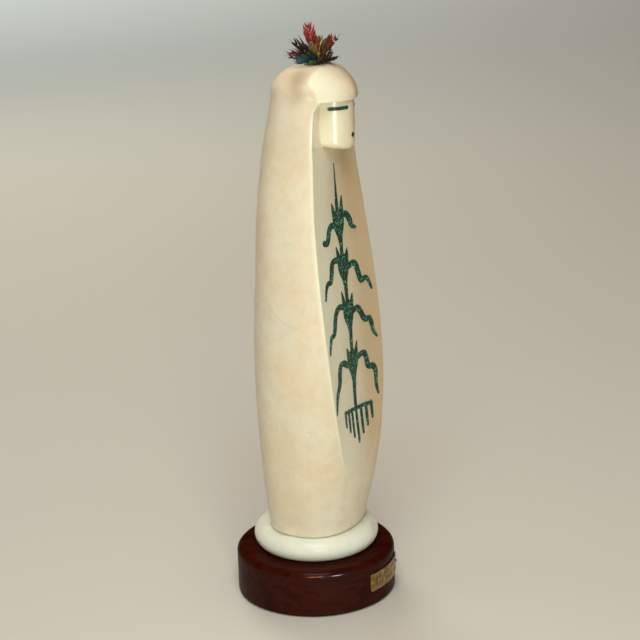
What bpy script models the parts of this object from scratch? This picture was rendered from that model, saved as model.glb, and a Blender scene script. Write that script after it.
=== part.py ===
# Corn maiden: a carved stone woman wrapped in her hair and blanket, with an inlaid corn plant,
# on a stone ring and a turned wooden base, with a tuft of feathers on her crown.
# Metres, +Z up. The origin is the middle of the underside of the wooden base, and she faces -Y.
import math

import bmesh
import bpy
from mathutils import Vector

# Wooden base. It stands out past the stone ring all round by its step.
base_step = 0.01725
base_height = 0.0487
base_top_round = 0.007
base_foot_round = 0.004

# Stone ring, with a full round edge. It stands out past the figure's foot by its step.
ring_step = 0.0113
ring_thickness = 0.024
ring_forward = 0.0015

# Clearance kept between pieces that touch
seat_gap = 0.0003

# Carved figure. Its form below is kept as shares of this height.
figure_height = 0.4665
face_half_width = 0.0205
face_depth = 0.0259
chin_round = 0.0055
chin_drop = 0.003

# Hole in the crown for the quills
quill_hole_radius = 0.0056
quill_hole_depth = 0.013

# Inlays
inlay_depth = 0.0020
leaf_width = 0.0061
stalk_width = 0.0056
root_bar_width = 0.0038
root_width = 0.0050
eye_height = 0.0033
eye_depth = 0.0014
mouth_radius = 0.0024

# Brass plate and its two pins
plate_length = 0.064
plate_height = 0.019
plate_thickness = 0.0010
plate_rise = 0.003
plate_turn = math.radians(3)
plate_corner = 0.0022
pin_head_radius = 0.0017
pin_head_rise = 0.0011
pin_shank_radius = 0.0007
pin_length = 0.009
pin_inset = 0.0032

# Feathers
feather_thickness = 0.0005
quill_radius = 0.00035
quill_foot_gap = 0.0015
quill_bow = 0.0025
tip_half_width = 0.0001

# Fineness
base_segments = 46
side_segments = 24
face_segments = 10
strip_segments = 3
body_rings = 19
chin_rings = 3
field_size = 0.028

mm = 0.001
foot_half_width = 0.1103
ring_radius = foot_half_width * figure_height + ring_step
base_radius = ring_radius + base_step
plate_middle_height = (base_foot_round + base_height - base_top_round) / 2 + plate_rise
ring_bottom = base_height + seat_gap
ring_top = ring_bottom + ring_thickness
figure_foot = ring_top + seat_gap
crown_height = figure_foot + figure_height

# The figure's stations, from the foot up, as shares of its height:
# height, half width, how far the widest line stands forward, depth behind it, depth before it,
# how far the front panel stands forward, how hollow the panel is, fullness of the front.
stations = (
    (0.000, foot_half_width, 0.008, 0.0938, 0.0938, 0.1350, 0.0065, 2.3),
    (0.135, 0.1349, 0.018, 0.1148, 0.1148, 0.1225, 0.0065, 2.3),
    (0.270, 0.1484, 0.024, 0.1261, 0.1261, 0.1186, 0.0085, 2.3),
    (0.380, 0.1516, 0.025, 0.1289, 0.1289, 0.1122, 0.0077, 2.3),
    (0.490, 0.1473, 0.024, 0.1253, 0.1253, 0.1013, 0.0064, 2.3),
    (0.600, 0.1381, 0.0206, 0.1169, 0.1169, 0.0884, 0.0054, 2.3),
    (0.700, 0.1266, 0.0152, 0.1073, 0.1073, 0.0771, 0.0047, 2.3),
    (0.810, 0.1105, 0.0128, 0.0942, 0.0942, 0.0688, 0.0045, 2.3),
    (0.862, 0.1071, 0.0210, 0.0934, 0.0934, 0.0698, 0.0118, 2.3),
    (0.910, 0.1028, 0.0278, 0.0899, 0.0921, 0.0713, 0.0130, 2.0),
    (0.940, 0.0989, 0.0268, 0.0831, 0.0910, 0.0720, 0.0130, 1.7),
)
back_fullness = 2.3
chin_share = 0.836
fringe_share = 0.9315
dome_share = 0.940
dome_fullness = 2.25
brow_fullness = 1.6
fringe_lip = 0.0012
fringe_rise = 0.005
fringe_rise_from = 0.89
crown_forward = 0.037
face_middle_forward = 0.057
eye_share = 0.918
eye_slant = 0.0006
mouth_share = 0.8594
eye_from, eye_to = math.radians(17.5), math.radians(69.5)
panel_fade_top = 0.20
panel_fade = 0.012
opening_top_half_width = 0.077
opening_corner = 0.021
narrowest_front = 0.064
hollow_foot, hollow_full = 0.15, 0.29
foot_edge = 0.007
forward_lean = 0.010


def smooth_table(table, share):
    """The station values at a share of the height, by a smooth curve through the stations."""
    last = len(table) - 1
    i = max(j for j in range(last) if table[j][0] <= share or j == 0)
    before, low = table[max(i - 1, 0)], table[i]
    high, after = table[i + 1], table[min(i + 2, last)]
    span = high[0] - low[0]
    t = min(max((share - low[0]) / span, 0), 1)
    values = []
    for column in range(1, len(low)):
        rise_low = (high[column] - before[column]) / (high[0] - before[0]) * span
        rise_high = (after[column] - low[column]) / (after[0] - low[0]) * span
        values.append(
            (2 * t**3 - 3 * t**2 + 1) * low[column]
            + (t**3 - 2 * t**2 + t) * rise_low
            + (3 * t**2 - 2 * t**3) * high[column]
            + (t**3 - t**2) * rise_high
        )
    return values


def smooth_step(low, high, value):
    t = min(max((value - low) / (high - low), 0), 1)
    return t * t * (3 - 2 * t)


def softer_of(a, b, softness):
    """The smaller of two values, rounded off where they cross."""
    if softness <= 0:
        return min(a, b)
    h = min(max(0.5 + 0.5 * (b - a) / softness, 0), 1)
    return b + (a - b) * h - softness * h * (1 - h)


def rounded(value, fullness):
    return math.copysign(abs(value) ** (2 / fullness), value)


def panel_half_width(share):
    """Half the distance between the two front ridges."""
    half_width, middle, _, front, panel, _, fullness = smooth_table(stations, share)
    reach = min(max((panel - middle) / front, 0), 1)
    cut = half_width * (1 - reach**fullness) ** (1 / fullness)
    closing = min(max((share - fringe_share) / opening_corner + 1, 0), 1)
    cut = cut + (opening_top_half_width - cut) * (1 - math.sqrt(1 - closing**2))
    return max(cut, narrowest_front)


def body_front(share, x):
    """How far forward the uncut body stands at this x."""
    half_width, middle, _, front, _, _, fullness = smooth_table(stations, share)
    inside = max(1 - (abs(x) / half_width) ** fullness, 0)
    return middle + front * inside ** (1 / fullness)


def panel_front(share, x):
    """How far forward the surface of the front stands at this x, all in shares of the height."""
    _, _, _, _, panel, hollow, _ = smooth_table(stations, share)
    width = panel_half_width(share)
    dish = hollow * max(1 - (x / width) ** 2, 0)
    dish *= smooth_step(hollow_foot, hollow_full, share)
    softness = panel_fade * (1 - smooth_step(0.13, panel_fade_top, share))
    return softer_of(panel - dish, body_front(share, x), softness)


def face_front(x, inset=0.0):
    """How far forward the face stands at this x, in metres, with its outline drawn in by inset."""
    across = (face_half_width - inset) ** 2
    inside = max(1 - x * x / across, 0)
    return face_middle_forward * figure_height + (face_depth - inset) * math.sqrt(inside)


def fringe_lift(share, place):
    """How much higher than the middle the fringe and the opening under it are at this place."""
    return fringe_rise * place**2 * smooth_step(fringe_rise_from, fringe_share, share)


def lean_forward(bm):
    """Leans a piece of the figure towards her front, the more the higher it is."""
    for vert in bm.verts:
        vert.co.y -= forward_lean * (vert.co.z - figure_foot)


def front_places():
    """The x places across the front, as shares of the half width, from her right to her left."""
    foot = face_half_width / (panel_half_width(chin_share) * figure_height)
    strip = [1 + (foot - 1) * i / strip_segments for i in range(strip_segments)]
    half_turns = [math.pi * i / face_segments for i in range(face_segments + 1)]
    face = [-foot * math.cos(turn) for turn in half_turns]
    return [-x for x in strip] + face + [x for x in reversed(strip)]


def side_points(share, z, grow=0.0):
    """Points of the mantle from her left ridge round the back to her right ridge."""
    half_width, middle, back, front, _, _, fullness = smooth_table(stations, share)
    width = panel_half_width(share)
    start = math.asin(min((width / half_width) ** (fullness / 2), 1))
    points = []
    for i in range(1, side_segments):
        angle = start + (2 * math.pi - 2 * start) * i / side_segments
        sine, cosine = math.sin(angle), math.cos(angle)
        depth, full = (front, fullness) if cosine > 0 else (back, back_fullness)
        x = half_width * rounded(sine, fullness if cosine > 0 else back_fullness)
        y = middle + depth * rounded(cosine, full)
        points.append((x, y))
    size = 1 + grow / half_width
    return [
        Vector((x * size, -(middle + (y - middle) * size), 0)) * figure_height + Vector((0, 0, z))
        for x, y in points
    ]


def body_ring(share, grow=0.0):
    """One closed ring of the body: the front from right to left, then round the back."""
    z = figure_foot + share * figure_height
    width = panel_half_width(share)
    half_width, middle = smooth_table(stations, share)[:2]
    size = 1 + grow / half_width
    front = []
    for place in front_places():
        x = place * width
        open_edge = share > chin_share and abs(place) == 1
        y = body_front(share, x) if open_edge else panel_front(share, x)
        lift = fringe_lift(share, place)
        front.append(Vector((x * size, -(middle + (y - middle) * size), lift)) * figure_height)
    return [point + Vector((0, 0, z)) for point in front] + side_points(share, z, grow)


def face_ring(share, inset, drop=0.0):
    """A ring of the body with the face standing out of the panel, hanging lower at its front."""
    ring = body_ring(share)
    width = panel_half_width(share) * figure_height
    places = front_places()
    first = strip_segments
    for i in range(first, first + face_segments + 1):
        turn = math.pi * (i - first) / face_segments
        x = -(face_half_width - inset) * math.cos(turn)
        y = face_front(x, inset)
        floor = panel_front(share, x / figure_height) * figure_height
        lower = drop * math.sin(turn) ** 2
        ring[i] = Vector((x, -max(y, floor), ring[i].z - lower))
    for i in range(1, first):
        for side, index in ((-1, i), (1, len(places) - 1 - i)):
            edge = face_half_width - inset
            x = side * (width + (edge - width) * i / first)
            y = panel_front(share, x / figure_height) * figure_height
            ring[index] = Vector((x, -y, ring[index].z))
    return ring


def fringe_ring(share, inset):
    """A ring at the foot of the fringe, which stands out over the face, drawn in by inset."""
    ring = body_ring(share)
    width = panel_half_width(share)
    part = (dome_share - share) / (dome_share - fringe_share)
    for i, place in enumerate(front_places()):
        x = place * width
        y = body_front(share, x) * figure_height - inset * (1 - place**4)
        z = share + fringe_rise * place**2 * part
        ring[i] = Vector((x * figure_height, -y, figure_foot + z * figure_height))
    return ring


def head_ring(size, brow, z):
    """A ring of the head above the fringe. It closes in to the quill hole as size goes to 0, and
    before her face as brow does."""
    half_width, middle, back, front, _, _, fullness = stations[-1][1:]
    hole = quill_hole_radius / figure_height
    width = opening_top_half_width / half_width
    half_width = half_width * size + hole * (1 - size)
    back = back * size + hole * (1 - size)
    front = front * brow + hole * (1 - brow)
    middle = middle * size + crown_forward * (1 - size)
    fullness = fullness * size + 2 * (1 - size)
    back_full = back_fullness * size + 2 * (1 - size)
    ring = []
    for place in front_places():
        x = place * width
        ring.append((x * half_width, middle + front * (1 - abs(x) ** fullness) ** (1 / fullness)))
    start = math.asin(width ** (fullness / 2))
    for i in range(1, side_segments):
        angle = start + (2 * math.pi - 2 * start) * i / side_segments
        sine, cosine = math.sin(angle), math.cos(angle)
        full = fullness if cosine > 0 else back_full
        depth = front if cosine > 0 else back
        ring.append((half_width * rounded(sine, full), middle + depth * rounded(cosine, full)))
    return [Vector((x * figure_height, -y * figure_height, z)) for x, y in ring]


def figure_rings():
    """Every ring of the figure, from the foot to the bottom of the quill hole."""
    rings = [body_ring(0, -foot_edge), body_ring(foot_edge * 0.3, -foot_edge * 0.3)]
    for i in range(body_rings + 1):
        rings.append(body_ring(foot_edge + (chin_share - foot_edge) * i / body_rings))
    for i in range(chin_rings + 1):
        turn = math.pi / 2 * i / chin_rings
        inset = chin_round * (1 - math.sin(turn))
        rise = chin_round * (1 - math.cos(turn)) / figure_height
        rings.append(face_ring(chin_share + 0.0004 + rise, inset, chin_drop))
    face_low = chin_share + chin_round / figure_height
    for part in (0.35, 0.7, 0.84, 0.94, 1):
        rings.append(face_ring(face_low + (fringe_share - face_low) * part, 0))
    fringe_low = fringe_share + 0.0006
    for part in (0, 0.35, 1):
        share = fringe_low + (dome_share - fringe_low) * part
        rings.append(fringe_ring(share, fringe_lip * (1 - part) ** 2))
    for turn in (0.2, 0.4, 0.58, 0.74, 0.88):
        size = math.cos(turn * math.pi / 2) ** (2 / dome_fullness)
        lift = math.sin(turn * math.pi / 2) ** (2 / dome_fullness)
        brow = (1 - lift**brow_fullness) ** (1 / brow_fullness)
        z = figure_foot + (dome_share + (1 - dome_share) * lift) * figure_height
        rings.append(head_ring(size, brow, z))
    rings.append(head_ring(0, 0, crown_height))
    rings.append(head_ring(0, 0, crown_height - quill_hole_depth))
    return rings


def new_material(name, colour, roughness, metallic=0.0):
    material = bpy.data.materials.new(name)
    material.use_nodes = True
    shader = material.node_tree.nodes["Principled BSDF"]
    shader.inputs["Base Color"].default_value = (*colour, 1)
    shader.inputs["Roughness"].default_value = roughness
    shader.inputs["Metallic"].default_value = metallic
    return material


def new_object(name, bm, material=None, smooth_angle=None):
    """An object from a bmesh, with its faces pointing out."""
    bmesh.ops.recalc_face_normals(bm, faces=bm.faces)
    mesh = bpy.data.meshes.new(name)
    bm.to_mesh(mesh)
    bm.free()
    if material:
        mesh.materials.append(material)
    if smooth_angle:
        mesh.shade_smooth()
        mesh.set_sharp_from_angle(angle=smooth_angle)
    obj = bpy.data.objects.new(name, mesh)
    bpy.context.collection.objects.link(obj)
    return obj


def cutter_of(name, bm):
    obj = new_object(name, bm)
    obj.hide_render = True
    obj.display_type = "WIRE"
    return obj


def add_boolean(obj, cutter, operation):
    modifier = obj.modifiers.new(cutter.name, "BOOLEAN")
    modifier.operation = operation
    modifier.object = cutter
    modifier.solver = "EXACT"
    return modifier


def loft(bm, rings, close_ends=True):
    """Joins rings of equal length with faces, and closes both ends with a fan."""
    rows = [[bm.verts.new(point) for point in ring] for ring in rings]
    for low, high in zip(rows, rows[1:]):
        for i in range(len(low)):
            j = (i + 1) % len(low)
            bm.faces.new((low[i], low[j], high[j], high[i]))
    if close_ends:
        for row in (rows[0], rows[-1]):
            middle = bm.verts.new(sum((vert.co for vert in row), Vector()) / len(row))
            for i in range(len(row)):
                bm.faces.new((row[i], row[(i + 1) % len(row)], middle))
    return rows


def turned(name, profile, material, segments, smooth_angle=math.radians(35)):
    """A turned piece about Z from its profile of (radius, height), bottom to top."""
    bm = bmesh.new()
    rings = []
    for radius, height in profile:
        turns = [2 * math.pi * i / segments for i in range(segments)]
        rings.append([Vector((radius * math.cos(a), radius * math.sin(a), height)) for a in turns])
    loft(bm, rings)
    return new_object(name, bm, material, smooth_angle)


def quarter_arc(middle, radius, start, steps):
    """Points of a quarter turn, counter-clockwise from start, as (radius, height)."""
    turns = [start + math.pi / 2 * i / steps for i in range(steps + 1)]
    return [(middle[0] + radius * math.cos(a), middle[1] + radius * math.sin(a)) for a in turns]


def wood_base(material):
    foot = quarter_arc(
        (base_radius - base_foot_round, base_foot_round), base_foot_round, -math.pi / 2, 2
    )
    top = quarter_arc(
        (base_radius - base_top_round, base_height - base_top_round), base_top_round, 0, 4
    )
    return turned("wood_base", foot + top, material, base_segments)


def stone_ring(material):
    edge = ring_thickness / 2
    middle = (ring_radius - edge, ring_bottom + edge)
    profile = quarter_arc(middle, edge, -math.pi / 2, 4) + quarter_arc(middle, edge, 0, 4)[1:]
    ring = turned("stone_ring", profile, material, base_segments)
    for vert in ring.data.vertices:
        vert.co.y -= ring_forward


# The corn plant, drawn on the front panel. Its heights are shares of the figure's height, and
# the points that follow a node are thousandths of it, sideways and up from the node. The stalk
# leans a little, and the two sides differ, as they do on a plant.
thousandth = figure_height / 1000
stalk_top = 0.7955
stalk_foot = 0.272
stalk_lean = 0.018
stalk_upright_at = 0.68
nodes = (0.680, 0.588, 0.490, 0.383)
left_leaves = (
    ((0, -12), (-18, -11), (-33, -8), (-45, -16), (-51, -27), (-60, -38), (-74, -34)),
    ((0, 6), (-16, 8), (-36, 12), (-49, 6), (-56, -12), (-64, -25), (-79, -26), (-89, -35), (-97, -54)),
    ((0, 4), (-17, 7), (-38, 12), (-54, 5), (-64, -11), (-74, -33), (-90, -38), (-98, -50), (-105, -68)),
    ((0, -10), (-22, -10), (-41, 0), (-57, 0), (-65, -13), (-69, -34), (-84, -54), (-92, -72), (-97, -92)),
)
right_leaves = (
    ((0, 4), (22, 5), (38, -1), (47, -14), (53, -27), (67, -34)),
    ((0, -14), (21, -14), (37, -11), (50, -17), (56, -31), (65, -55), (81, -54), (92, -60), (103, -82)),
    ((0, -10), (18, -11), (35, -9), (47, -17), (63, -40), (82, -45), (89, -56), (93, -75), (105, -90)),
    ((0, -6), (22, -5), (40, -2), (54, -9), (62, -35), (82, -43), (90, -57), (89, -84), (95, -106)),
)
bract_tips = (((-21, 35), (23, 43)), ((-21, 36), (24, 24)), ((-20, 40), (24, 25)), ((-22, 26), (23, 30)))
bract_widths = (1.35, 0.95, 0.2)
node_shape = ((17, 16), (6, 38), (-8, 46), (-22, 37), (-34, 24), (-48, 15), (-64, 12))
root_bar = ((-53, 5), (0, 0), (45, -5), (68, -10))
roots = ((-51, 24), (-35, 40), (-19, 56), (0, 73), (22, 60), (44, 50), (66, 40))
leaf_level_share, leaf_upright_share = 0.88, 1.35


def place_on_panel(x, z):
    """The point of the panel's surface at this sideways place and height."""
    share = (z - figure_foot) / figure_height
    return -panel_front(share, x / figure_height) * figure_height


def stroke(bm, points, low, high, grow):
    """A flat bar of changing width along (x, z, width) points, between two Y places."""
    line = [Vector((point[0], point[1])) for point in points]
    left, right = [], []
    for i, point in enumerate(line):
        ahead = line[min(i + 1, len(line) - 1)] - line[max(i - 1, 0)]
        ahead.normalize()
        side = Vector((-ahead.y, ahead.x)) * (points[i][2] / 2 + grow)
        end = ahead * grow * ((i == len(line) - 1) - (i == 0))
        left.append(point + side + end)
        right.append(point - side + end)
    outline = left + right[::-1]
    lower = [bm.verts.new((p.x, low, p.y)) for p in outline]
    upper = [bm.verts.new((p.x, high, p.y)) for p in outline]
    count = len(outline)
    for i in range(count):
        j = (i + 1) % count
        bm.faces.new((lower[i], lower[j], upper[j], upper[i]))
    for i in range(len(line) - 1):
        for row in (lower, upper):
            bm.faces.new((row[i], row[i + 1], row[count - 2 - i], row[count - 1 - i]))


def leaf_stroke(points, tip):
    """Gives a leaf's points their widths: wider where it hangs than where it arches, and from
    past its middle down to the tip."""
    last = len(points) - 1
    out = []
    for i, (x, z) in enumerate(points):
        before, after = points[max(i - 1, 0)], points[min(i + 1, last)]
        run, rise = after[0] - before[0], after[1] - before[1]
        upright = abs(rise) / math.hypot(run, rise)
        width = leaf_width * (leaf_level_share + (leaf_upright_share - leaf_level_share) * upright)
        share = max((i / last - 0.6) / 0.4, 0)
        out.append((x, z, width * (1 + (tip - 1) * share**1.5)))
    return out


def stalk_side(share):
    """How far the leaning stalk stands to the side at this share of the height."""
    return (share - stalk_upright_at) * stalk_lean * figure_height


def plant_strokes():
    """Every stroke of the plant, as lists of (x, z, width) in metres."""
    unit = thousandth
    top = figure_foot + stalk_top * figure_height
    foot = figure_foot + stalk_foot * figure_height
    foot_side = stalk_side(stalk_foot)
    stalk = []
    for share, size in ((stalk_top, 0.2), (0.753, 0.45), (0.716, 0.75), (nodes[0], 1)):
        stalk.append((stalk_side(share), figure_foot + share * figure_height, size * stalk_width))
    stalk.append((foot_side, foot, stalk_width))
    strokes = [stalk]
    for level, share in enumerate(nodes):
        z = figure_foot + share * figure_height
        side = stalk_side(share)
        strokes.append([(side, z + rise * unit, width * unit) for rise, width in node_shape])
        for leaf in (left_leaves[level], right_leaves[level]):
            points = [(side + x * unit, z + rise * unit) for x, rise in leaf]
            tip = 0.9 if leaf is left_leaves[0] else 0.4
            strokes.append(leaf_stroke(points, tip))
        wide, narrow, point = [leaf_width * share for share in bract_widths]
        for x, rise in bract_tips[level]:
            start = (side + 0.6 * x * unit, z - 4 * unit, wide)
            middle = (side + 0.8 * x * unit, z + rise * unit / 2, narrow)
            strokes.append([start, middle, (side + x * unit, z + rise * unit, point)])
    bar = [(foot_side + x * unit, foot + rise * unit, root_bar_width) for x, rise in root_bar]
    strokes.append(bar)
    for place, reach in roots:
        x = foot_side + place * unit
        top = foot - place * unit * 0.11
        tip = (x, foot - reach * unit, 0.7 * root_width)
        strokes.append([(x, top, root_width), tip])
    return strokes


def plant_solid(name, out, deep, grow):
    """The plant as one solid: its strokes united, cut into small fields and laid on the panel."""
    helpers = bpy.data.collections.new(name + "_strokes")
    others = []
    for i, points in enumerate(plant_strokes()):
        bm = bmesh.new()
        stroke(bm, points, -out, deep, grow)
        others.append(new_object(f"{name}_stroke_{i}", bm))
    whole = others.pop(0)
    whole.name = name
    for obj in others:
        helpers.objects.link(obj)
    modifier = whole.modifiers.new("Union", "BOOLEAN")
    modifier.operation = "UNION"
    modifier.operand_type = "COLLECTION"
    modifier.collection = helpers
    modifier.solver = "EXACT"
    bpy.context.view_layer.update()
    graph = bpy.context.evaluated_depsgraph_get()
    mesh = bpy.data.meshes.new_from_object(whole.evaluated_get(graph), depsgraph=graph)
    whole.modifiers.clear()
    bm = bmesh.new()
    bm.from_mesh(mesh)
    bpy.data.meshes.remove(mesh)
    rest = [face for face in bm.faces if face.normal.y > -0.9]
    bmesh.ops.delete(bm, geom=rest, context="FACES")
    bmesh.ops.remove_doubles(bm, verts=bm.verts, dist=0.00005)
    bmesh.ops.dissolve_limit(bm, angle_limit=0.01, verts=bm.verts, edges=bm.edges)
    middle = Vector((0, 0, figure_foot + figure_height / 2))
    for normal in (Vector((1, 0, 0)), Vector((0, 0, 1))):
        for i in range(-11, 12):
            geometry = bm.verts[:] + bm.edges[:] + bm.faces[:]
            spot = middle + normal * field_size * (i + 0.5)
            bmesh.ops.bisect_plane(
                bm, geom=geometry, dist=0.00002, plane_co=spot, plane_no=normal
            )
    bmesh.ops.triangulate(bm, faces=bm.faces)
    extruded = bmesh.ops.extrude_face_region(bm, geom=bm.faces[:])
    for item in extruded["geom"]:
        if isinstance(item, bmesh.types.BMVert):
            item.co.y = deep
    for vert in bm.verts:
        vert.co.y += place_on_panel(vert.co.x, vert.co.z)
    lean_forward(bm)
    bmesh.ops.recalc_face_normals(bm, faces=bm.faces)
    bm.to_mesh(whole.data)
    bm.free()
    for obj in others:
        bpy.data.objects.remove(obj)
    bpy.data.collections.remove(helpers)
    return whole


def eye_bar(side, out, deep, grow):
    """A bar let into the face, bent round it, from beside the nose to the temple."""
    bm = bmesh.new()
    middle = figure_foot + eye_share * figure_height
    half = eye_height / 2 + grow
    turn_grow = grow / face_half_width
    rings = []
    steps = 8
    for i in range(steps + 1):
        turn = eye_from - turn_grow + (eye_to - eye_from + 2 * turn_grow) * i / steps
        x, y = face_half_width * math.sin(turn), face_depth * math.cos(turn)
        normal = Vector((math.sin(turn) / face_half_width, math.cos(turn) / face_depth))
        normal.normalize()
        ring = []
        z = middle - eye_slant * i / steps
        for reach, height in ((out, half), (out, -half), (-deep, -half), (-deep, half)):
            far = y + normal.y * reach + face_middle_forward * figure_height
            ring.append(Vector((side * (x + normal.x * reach), -far, z + height)))
        rings.append(ring)
    loft(bm, rings)
    lean_forward(bm)
    return bm


def mouth_plug(out, deep, grow):
    """A short round plug in the front of the face."""
    bm = bmesh.new()
    z = figure_foot + mouth_share * figure_height
    front = face_front(0)
    rings = []
    for y in (-(front + out), -(front - deep)):
        turns = [2 * math.pi * i / 12 for i in range(12)]
        radius = mouth_radius + grow
        rings.append([Vector((radius * math.cos(a), y, z + radius * math.sin(a))) for a in turns])
    loft(bm, rings)
    lean_forward(bm)
    return bm


def carved_figure(material):
    bm = bmesh.new()
    loft(bm, figure_rings())
    lean_forward(bm)
    figure = new_object("figure", bm, material, math.radians(40))
    proud = 0.003
    cutters = [plant_solid("corn_recess", proud, inlay_depth + seat_gap, seat_gap)]
    cutters[0].hide_render = True
    cutters[0].display_type = "WIRE"
    eye_cut = eye_depth + seat_gap
    for side, name in ((-1, "eye_recess_right"), (1, "eye_recess_left")):
        cutters.append(cutter_of(name, eye_bar(side, proud, eye_cut, seat_gap)))
    cutters.append(cutter_of("mouth_recess", mouth_plug(proud, eye_cut, seat_gap)))
    for cutter in cutters:
        add_boolean(figure, cutter, "DIFFERENCE")
    return figure


def inlays(stone, dark):
    corn = plant_solid("corn_inlay", 0, inlay_depth, 0)
    corn.data.materials.append(stone)
    for side, name in ((-1, "eye_inlay_right"), (1, "eye_inlay_left")):
        new_object(name, eye_bar(side, 0, eye_depth, 0), stone)
    new_object("mouth_inlay", mouth_plug(0, eye_depth, 0), dark)


def round_base(angle, radius, z):
    """A point round the base. Angle 0 is her front, and it grows towards her left."""
    return Vector((radius * math.sin(angle), -radius * math.cos(angle), z))


def plate_outline():
    """The plate's outline as (distance round the base, height), with rounded corners."""
    half_length, half_height = plate_length / 2, plate_height / 2
    corners = ((1, 1, 0), (-1, 1, 1), (-1, -1, 2), (1, -1, 3))
    points = []
    for side, up, quarter in corners:
        middle = (side * (half_length - plate_corner), up * (half_height - plate_corner))
        points += quarter_arc(middle, plate_corner, quarter * math.pi / 2, 3)
    return points


def name_plate(material):
    """A thin plate bent to the wall of the base."""
    inner = base_radius + seat_gap
    outline = plate_outline()
    columns = 8
    flat = bmesh.new()
    flat.faces.new([flat.verts.new((x, y, 0)) for x, y in outline])
    for i in range(1, columns):
        x = -plate_length / 2 + plate_length * i / columns
        geometry = flat.verts[:] + flat.edges[:] + flat.faces[:]
        bmesh.ops.bisect_plane(
            flat, geom=geometry, dist=1e-7, plane_co=(x, 0, 0), plane_no=(1, 0, 0)
        )
    extruded = bmesh.ops.extrude_face_region(flat, geom=flat.faces[:])
    for item in extruded["geom"]:
        if isinstance(item, bmesh.types.BMVert):
            item.co.z = plate_thickness
    for vert in flat.verts:
        angle = plate_turn + vert.co.x / base_radius
        vert.co = round_base(angle, inner + vert.co.z, plate_middle_height + vert.co.y)
    bmesh.ops.triangulate(flat, faces=flat.faces)
    return new_object("name_plate", flat, material)


def pin_solid(angle, radii, start, steps=8):
    """A round solid along the base's radius at this angle, from (distance, radius) steps."""
    bm = bmesh.new()
    middle = round_base(angle, 1, 0)
    across = Vector((math.cos(angle), math.sin(angle), 0))
    up = Vector((0, 0, 1))
    rings = []
    for distance, radius in radii:
        spot = middle * (start + distance) + up * plate_middle_height
        turns = [2 * math.pi * i / steps for i in range(steps)]
        rings.append(
            [spot + (across * math.cos(a) + up * math.sin(a)) * radius for a in turns]
        )
    loft(bm, rings)
    return bm


def plate_pins(material, plate, base):
    """Two pins with domed heads, through holes in the plate into the wood."""
    face = base_radius + seat_gap + plate_thickness
    head_low = face + seat_gap
    turn = (plate_length / 2 - pin_inset) / base_radius
    for side, name in ((-1, "plate_pin_right"), (1, "plate_pin_left")):
        angle = plate_turn + side * turn
        hole = pin_shank_radius + seat_gap
        depth = pin_length + seat_gap
        cut = pin_solid(angle, ((-depth, hole), (pin_head_radius, hole)), head_low)
        cutter = cutter_of(name + "_hole", cut)
        add_boolean(plate, cutter, "DIFFERENCE")
        add_boolean(base, cutter, "DIFFERENCE")
        shape = [(-pin_length, pin_shank_radius), (0, pin_shank_radius), (0, pin_head_radius)]
        for part in (0.35, 0.7, 0.92):
            radius = pin_head_radius * math.sqrt(1 - part**2)
            shape.append((pin_head_rise * part, radius))
        new_object(name, pin_solid(angle, shape, head_low), material, math.radians(50))


# Feathers: colour, turn from her front towards her left, lean from upright, length and width
# of the feather in millimetres, twist of the blade about its quill, and curl to one side.
feathers = (
    ("red", -150, 14, 42, 9.0, 75, 0),
    ("ochre", 112, 20, 28, 7.5, 20, 0),
    ("yellow", -62, 17, 27, 2.8, 0, 5),
    ("brown", 44, 22, 29, 4.4, 60, 0),
    ("orange", 8, 31, 34, 4.8, 75, 0),
    ("rust", 49, 41, 36, 4.4, 60, -3),
    ("dark", 16, 73, 23, 3.4, 40, -4),
    ("dark", 66, 86, 22, 3.4, 10, 4),
    ("dark", -163, 50, 36, 8.0, 70, 0),
    ("dark", -136, 39, 31, 4.4, 60, 0),
    ("dark", 166, 47, 29, 4.0, 50, 0),
    ("rust", -145, 67, 36, 6.0, 60, 3),
    ("rust", -165, 79, 35, 6.0, 60, -3),
    ("teal", -116, 77, 31, 10.5, 60, 0),
    ("green", -95, 80, 21, 7.5, 45, 0),
    ("olive", -112, 52, 22, 6.0, 30, 0),
    ("brown", 104, 69, 26, 6.5, 10, 0),
    ("dark", 84, 50, 24, 5.5, 20, 0),
    ("ochre", -120, 24, 25, 6.0, 60, 0),
    ("olive", -62, 60, 15, 5.5, 40, 0),
    ("brown", 22, 52, 19, 5.5, 40, 0),
    ("dark", 48, 63, 16, 4.5, 20, 0),
    ("olive", 136, 62, 21, 6.0, 10, 0),
)
curl_share = 0.6
blade_stations = (0.22, 0.40, 0.62, 0.84, 1.0)
blade_widths = (0.0, 0.75, 1.0, 0.76, 0.1)


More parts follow.
